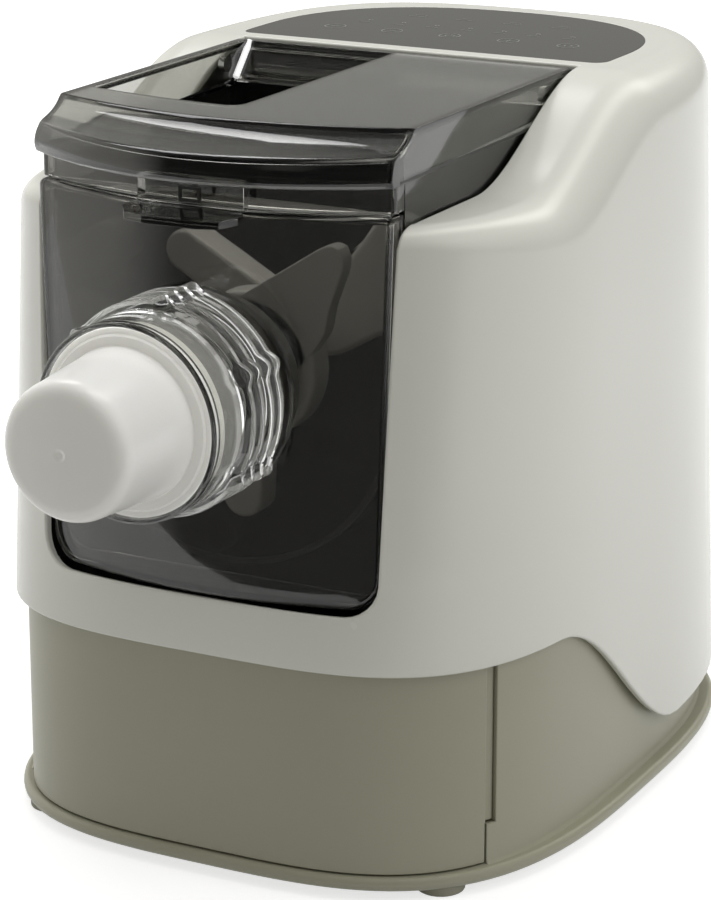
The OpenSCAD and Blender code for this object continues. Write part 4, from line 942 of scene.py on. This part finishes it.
def panelOutline(inset):
    # rounded outline in X and Z with its outward directions, anticlockwise from the foot's centre
    low, wide, top, corner, small = [panel[label] for label in ("low", "wide", "top", "corner", "topCorner")]
    lean = math.atan2(panel["halfTop"] - panel["halfLow"], wide - low)

    def halfAtZ(z):
        return mixed(panel["halfLow"], panel["halfTop"], min(1, (z - low) / (wide - low)))

    right = [(x, low, 0, -1) for x in panel["lowColumns"]]
    cx, cz = halfAtZ(low + corner) - corner, low + corner
    right += [(cx + corner * math.sin(t), cz - corner * math.cos(t), math.sin(t), -math.cos(t))
              for t in quarterTurns(8)]
    right += [(halfAtZ(z), z, math.cos(lean), -math.sin(lean))
              for z in [mixed(low + corner, top - small, k / 11) for k in range(1, 12)]]
    cx, cz = panel["halfTop"] - small, top - small
    right += [(cx + small * math.cos(t), cz + small * math.sin(t), math.cos(t), math.sin(t))
              for t in quarterTurns(4)[1:-1]]
    right += [(x, top, 0, 1) for x in panel["topColumns"]]
    points = right + [(0, top, 0, 1)] + [(-x, z, -nx, nz) for x, z, nx, nz in right[:0:-1]]
    return [(x - nx * inset, z - nz * inset, nx, nz) for x, z, nx, nz in points]


def buildPanel():
    bm = bmesh.new()
    edge, boss, bossFront, bossBack = [panel[label] for label in ("edge", "boss", "bossFront", "bossBack")]
    outline = panelOutline(edge)
    turns = [math.atan2(z - axisZ, x) for x, z, nx, nz in outline]
    hole = [(boss * math.cos(turn), axisZ + boss * math.sin(turn)) for turn in turns]
    rows = []
    for j in range(9):
        spots = [(mixed(hx, x, j / 8), mixed(hz, z, j / 8))
                 for (hx, hz), (x, z, nx, nz) in zip(hole, outline)]
        rows.append([(x, bowAt(panel, x), z) for x, z in spots])
    for t in quarterTurns(5)[1:]:
        grow, sink = edge * math.sin(t), edge * (1 - math.cos(t))
        rows.append([(x + nx * grow, bowAt(panel, x) + sink, z + nz * grow) for x, z, nx, nz in outline])
    for share in (0.5, 1):
        rows.append([(x + nx * edge, mixed(bowAt(panel, x) + edge, panel["back"] - panel["rim"], share),
                      z + nz * edge) for x, z, nx, nz in outline])
    sweepRows(bm, rows, True)
    faceAway(bm, (0, -100, axisZ))
    thicken(bm, panel["wall"], panel["rim"], 3)
    ring = bmesh.new()
    turned(ring, roundedProfile([(bossBack, boss - 0.2, 0), (bossFront, boss - 0.2, 1),
                                 (bossFront, panel["tube"], 0.6), (bossBack, panel["tube"], 0)]), 96)
    addTo(bm, ring)
    return bm


def buildGrip():
    # a backing plate and a shelf with a rounded front edge
    bm = bmesh.new()
    half, back, topZ = grip["half"], grip["back"], panel["top"] + grip["lift"]
    addBlock(bm, (-half, grip["plateBack"], panel["top"] + grip["plateLift"]),
             (half, grip["plateFront"], grip["plateTop"]))
    bevelEdges(bm, bm.edges[:], grip["plateEdge"], 2)
    plan = grip["shelf"] + [(-x, out) for x, out in grip["shelf"][:0:-1]]
    pullOut(bm, [(x, back - out, topZ - grip["thick"] - grip["drop"] * min(1, out / grip["out"]))
                 for x, out in plan], (0, 0, grip["thick"]))
    shelf = [e for e in bm.edges if all(v.co.y < back and v.co.z < topZ + 0.05 for v in e.verts)]
    bevelEdges(bm, shelf, grip["edge"], 4)
    faceOut(bm)
    return bm


finished("panelShell", buildPanel(), "front_panel", "smoked_panel", "front_panel")
finished("panelGrip", buildGrip(), "front_panel", "grip_plastic", "panel_grip")
print("panel built")

# Outlet: tube, clamp nut and cap about the shaft's axis; lengths are distances to the front
tube = {"back": 113.3, "front": 168, "outer": 29.2, "inner": 26.4}
nut = {"back": 136.6, "front": 177.3, "radius": 33.4, "root": 33.8, "rib": 36.4, "ribs": 4, "pitch": 6,
       "ribShape": [(0.5, 0, 0.3), (1.6, 1, 0.9), (3.9, 1, 0.9), (5.1, 0, 0.4)], "bore": 29.5, "lip": 171.6,
       "lipFront": 173.2, "lipRadius": 27.2, "capBore": 31.7, "lobeRise": 2.5, "lobeReach": 7.5, "lobes": 6,
       "lobeTurn": 25}
cap = {"flangeBack": 173.4, "flange": 31.4, "flangeFront": 176, "root": 25.5, "end": 23.5, "tip": 216,
       "wall": 2.2}


def buildTube():
    bm = bmesh.new()
    turned(bm, roundedProfile([(tube["back"], tube["outer"], 0.4), (tube["front"], tube["outer"], 0.5),
                               (tube["front"], tube["inner"], 0.5), (tube["back"], tube["inner"], 0.4)]), 96)
    return bm


def growLobes(bm):
    # the finger grips swell out of the ribs
    end, start = nut["back"] + nut["ribs"] * nut["pitch"] - 0.5, nut["back"] - 0.9
    for vert in bm.verts:
        x, y, z = vert.co.x, -vert.co.y, vert.co.z - axisZ
        r = math.hypot(x, z)
        turn = math.degrees(math.atan2(z, x)) - nut["lobeTurn"]
        near = min(abs((turn - 360 / nut["lobes"] * k + 180) % 360 - 180) for k in range(nut["lobes"]))
        if r >= nut["radius"] - 0.6 and y <= end and near < nut["lobeReach"]:
            fade = ease((end - y) / 2.2) * ease((y - start) / 1.6)
            share = 1 - near / nut["lobeReach"]
            grown = r + nut["lobeRise"] * fade * (0.65 * ease(share) + 0.35 * share)
            vert.co.x, vert.co.z = x * grown / r, axisZ + z * grown / r


def buildNut():
    bm = bmesh.new()
    back, front, radius, bore, lip = nut["back"], nut["front"], nut["radius"], nut["bore"], nut["lip"]
    outer = [(back, nut["root"] - 0.2, 0.3)]
    for k in range(nut["ribs"]):
        outer += [(back + k * nut["pitch"] + along, mixed(nut["root"], nut["rib"], share), corner)
                  for along, share, corner in nut["ribShape"]]
    outer += [(back + nut["ribs"] * nut["pitch"], radius, 0.3), (front, radius, 1.1),
              (front, nut["capBore"], 0.4), (nut["lipFront"], nut["capBore"], 0.4),
              (nut["lipFront"], nut["lipRadius"], 0.3), (lip, nut["lipRadius"], 0.3), (lip, bore, 0.3),
              (back, bore, 0.5)]
    turned(bm, roundedProfile(outer, 3), 180)
    growLobes(bm)
    return bm


def buildCap():
    bm = bmesh.new()
    back, front, rootEnd = cap["flangeBack"], cap["flangeFront"], cap["flangeFront"] + 1.2
    root, end, tip, wall = cap["root"], cap["end"], cap["tip"], cap["wall"]
    turned(bm, roundedProfile([
        (tip - 0.5, 0.0, 0), (tip - 0.45, 1.0, 0.5), (tip, 2.2, 0.9), (tip - 0.5, 11, 12),
        (tip - 1.6, end - 0.6, 6.5), (tip - 12, end, 0), (rootEnd, root, 0.5), (front + 1.0, root + 3.2, 0.4),
        (front, root + 3.8, 0.4), (front, cap["flange"], 0.5), (back, cap["flange"], 0.5),
        (back, root - wall, 0.5), (tip - 9, end - wall, 3), (tip - wall - 1.4, end - wall - 5, 2),
        (tip - wall - 0.8, 0.0, 0)], 8), 128, closed=False)
    return bm


finished("outletTube", buildTube(), "front_panel", "paddle_plastic", "extrusion_tube", tubeGrey)
finished("clampNut", buildNut(), "clamp_nut", "clear_nut", "clamp_nut", sharp=50)
finished("outletCap", buildCap(), "outlet_cap", "milky_cap", "outlet_cap", sharp=45)
print("outlet built")

# Mixing paddle; arms are (turn, front, back, width, reach), fins (front, back, outline round the axis)
paddle = {"hub": 9, "hubFront": 106, "hubBack": -16.1, "bore": 5.02, "boreFrom": 14.4, "edge": 1.6,
          "armRoot": 3, "collar": 26, "collarFront": 98, "collarBack": 86, "finSide": 3.0, "finEdge": 2.6,
          "arms": [(-61, -58, -44, 15, 62), (184, -96, -84, 15, 55), (244, -50, -16, 7, 55)],
          "fins": [(-98, -91, [(-6, 22), (10.8, 32.7), (28.7, 44.3), (33.6, 45.8), (36.9, 42.8), (36.9, 37.4),
                               (34.3, 30.3), (31.6, 23.1), (30.1, 14.7), (20, 0), (0, -6), (-10, 4)]),
                   (-57, -47, [(29.2, 46), (16.8, 30.4), (9.4, 16.7), (5.4, 4.7), (6.5, -6), (13, -5),
                               (27.4, 3), (42, 10), (54, 20), (55, 30), (46, 42), (36, 48)])]}


def edgesAlongY(bm, along):
    return [e for e in bm.edges if (abs(e.verts[0].co.y - e.verts[1].co.y) > 1) == along]


def buildFin(front, back, outline):
    fin = bmesh.new()
    pullOut(fin, [(x, front, axisZ + z) for x, z in outline], (0, back - front, 0))
    bevelEdges(fin, edgesAlongY(fin, True), paddle["finSide"], 3)
    bevelEdges(fin, edgesAlongY(fin, False), paddle["finEdge"], 4)
    faceOut(fin)
    return fin


def buildArm(turn, front, back, width, reach):
    arm = bmesh.new()
    r = width / 2
    points = [(-r, paddle["armRoot"]), (r, paddle["armRoot"])]
    points += [(r * math.cos(t), reach - r + r * math.sin(t)) for t in [math.pi * k / 16 for k in range(17)]]
    pullOut(arm, [(x, front, z) for x, z in points], (0, back - front, 0))
    bevelEdges(arm, edgesAlongY(arm, False), paddle["edge"], 3)
    faceOut(arm)
    bmesh.ops.rotate(arm, cent=(0, 0, 0), matrix=Matrix.Rotation(math.radians(turn), 3, "Y"), verts=arm.verts)
    bmesh.ops.translate(arm, verts=arm.verts, vec=(0, 0, axisZ))
    return arm


def buildPaddle():
    bm = bmesh.new()
    hub, bore, front, back = paddle["hub"], paddle["bore"], paddle["hubFront"], paddle["hubBack"]
    start = paddle["boreFrom"]
    turned(bm, roundedProfile([(front, 0, 0), (front, hub, 1.5), (back, hub, 1), (back, bore, 0.3),
                               (start, bore, 0.3), (start, 0, 0)]), 64, closed=False)
    front, back, radius = paddle["collarFront"], paddle["collarBack"], paddle["collar"]
    collar = bmesh.new()
    turned(collar, roundedProfile([(front, hub - 1, 0), (front, radius, 2.5), (back, radius, 1.5),
                                   (back, hub - 1, 0)]), 96)
    addTo(bm, collar)
    for part in [buildFin(*fin) for fin in paddle["fins"]] + [buildArm(*arm) for arm in paddle["arms"]]:
        addTo(bm, part)
    return bm


finished("mixingPaddle", buildPaddle(), "main_drive", "paddle_plastic", "mixing_paddle")
print("paddle built")

# Floor, lamps, and the room that polished surfaces mirror; lamps are (name, place, aim, width, height, power)
studio = {"floorColor": (0.58, 0.58, 0.58), "floorHalf": 5, "floorFront": -0.42, "floorBack": 6,
          "glowNear": 0.70, "glowFar": 1.0, "glowStart": 0.16, "glowEnd": 0.75, "ambient": 0.335,
          "tint": (1, 0.985, 0.915, 1), "backdrop": 1.0, "mirrorLow": 0.39, "mirrorRight": 3.0,
          "mirrorHigh": 0.12, "mirrorFront": 0.10, "mirrorLeft": 1.3, "frontFade": (-0.45, -0.05),
          "highFade": (0.62, 0.85), "slitRise": (-0.04, 0.12), "slitFall": (0.2, 0.36),
          "slitFoot": (0.3, 0.45), "leftFade": (-0.8, -0.5),
          "lamps": [("top", (0.1, 0.3, 1.7), (0, 0, 0.12), 1.3, 1.3, 10.5),
                    ("right", (1.68, 0.1, 1.15), (0, 0, 0.12), 1.0, 1.4, 7.4),
                    ("left", (-1.75, -0.1, 1.35), (0, -0.05, 0.15), 0.9, 1.4, 7.5),
                    ("rear", (-1.0, 0.72, 1.82), (0, -0.13, 0.25), 0.9, 0.6, 8.0)]}


def buildFloor():
    bm = bmesh.new()
    bmesh.ops.create_grid(bm, x_segments=1, y_segments=1, size=1)
    for v in bm.verts:
        v.co = (v.co.x * studio["floorHalf"], studio["floorFront"] if v.co.y < 0 else studio["floorBack"], 0)
    mesh = bpy.data.meshes.new("floor")
    bm.to_mesh(mesh)
    bm.free()
    material = bpy.data.materials.new("paleFloor")
    material.use_nodes = True
    tree = material.node_tree
    tree.nodes.remove(tree.nodes["Principled BSDF"])
    rays = addNode(tree, "LightPath").outputs
    seen = maths(tree, "MAXIMUM", rays["Is Camera Ray"], rays["Is Glossy Ray"])
    seen = maths(tree, "MAXIMUM", seen, rays["Is Transmission Ray"])
    away = addNode(tree, "VectorMath", {0: addNode(tree, "TexCoord").outputs["Object"]}, operation="LENGTH")
    strength = ramp(tree, away.outputs["Value"], studio["glowStart"], studio["glowEnd"], studio["glowNear"],
                    studio["glowFar"])
    matte = addNode(tree, "BsdfDiffuse", {"Color": rgba(studio["floorColor"])})
    shine = addNode(tree, "Emission", {"Strength": maths(tree, "MULTIPLY", seen, strength)})
    both = addNode(tree, "AddShader", {0: matte.outputs[0], 1: shine.outputs[0]})
    tree.links.new(both.outputs[0], tree.nodes["Material Output"].inputs["Surface"])
    mesh.materials.append(material)
    floor = bpy.data.objects.new("floor", mesh)
    bpy.context.scene.collection.objects.link(floor)


def buildWorld():
    world = bpy.data.worlds.new("studio")
    bpy.context.scene.world = world
    world.use_nodes = True
    tree = world.node_tree
    rays = addNode(tree, "LightPath").outputs
    parts = addNode(tree, "SeparateXYZ", {"Vector": addNode(tree, "TexCoord").outputs["Generated"]}).outputs
    # a pale room behind, a bright slit to its right, dark overhead and in front, pale far to the left
    x, y, z = parts["X"], parts["Y"], parts["Z"]
    front = ramp(tree, y, *studio["frontFade"], studio["mirrorFront"], 1)
    high = ramp(tree, z, *studio["highFade"], studio["mirrorLow"], studio["mirrorHigh"])
    slit = maths(tree, "MULTIPLY", ramp(tree, x, *studio["slitRise"], 0, studio["mirrorRight"]),
                 ramp(tree, x, *studio["slitFall"], 1, 0))
    slit = maths(tree, "MULTIPLY", slit, ramp(tree, z, *studio["slitFoot"]))
    room = maths(tree, "MULTIPLY", maths(tree, "ADD", high, slit), front)
    mirrored = maths(tree, "MAXIMUM", room, ramp(tree, x, *studio["leftFade"], studio["mirrorLeft"], 0))
    plain = maths(tree, "MAXIMUM", rays["Is Camera Ray"], rays["Is Transmission Ray"])
    lit = addNode(tree, "Mix", {"Factor": rays["Is Glossy Ray"], 2: studio["ambient"], 3: mirrored},
                  data_type="FLOAT").outputs[0]
    strength = addNode(tree, "Mix", {"Factor": plain, 2: lit, 3: studio["backdrop"]}, data_type="FLOAT")
    background = tree.nodes["Background"].inputs
    tree.links.new(strength.outputs[0], background["Strength"])
    tree.links.new(colours(tree, plain, studio["tint"], (1, 1, 1, 1)), background["Color"])


def buildLamps():
    for name, place, aim, width, height, power in studio["lamps"]:
        data = bpy.data.lights.new(name, "AREA")
        data.shape = "RECTANGLE"
        data.size, data.size_y, data.energy = width, height, power
        lamp = bpy.data.objects.new(name, data)
        lamp.matrix_world = facing(place, Vector(aim) - Vector(place))
        lamp.visible_glossy = name == "rear"
        bpy.context.scene.collection.objects.link(lamp)


buildFloor()
buildWorld()
buildLamps()
bpy.context.scene.view_settings.view_transform = "Standard"
print("studio ready")
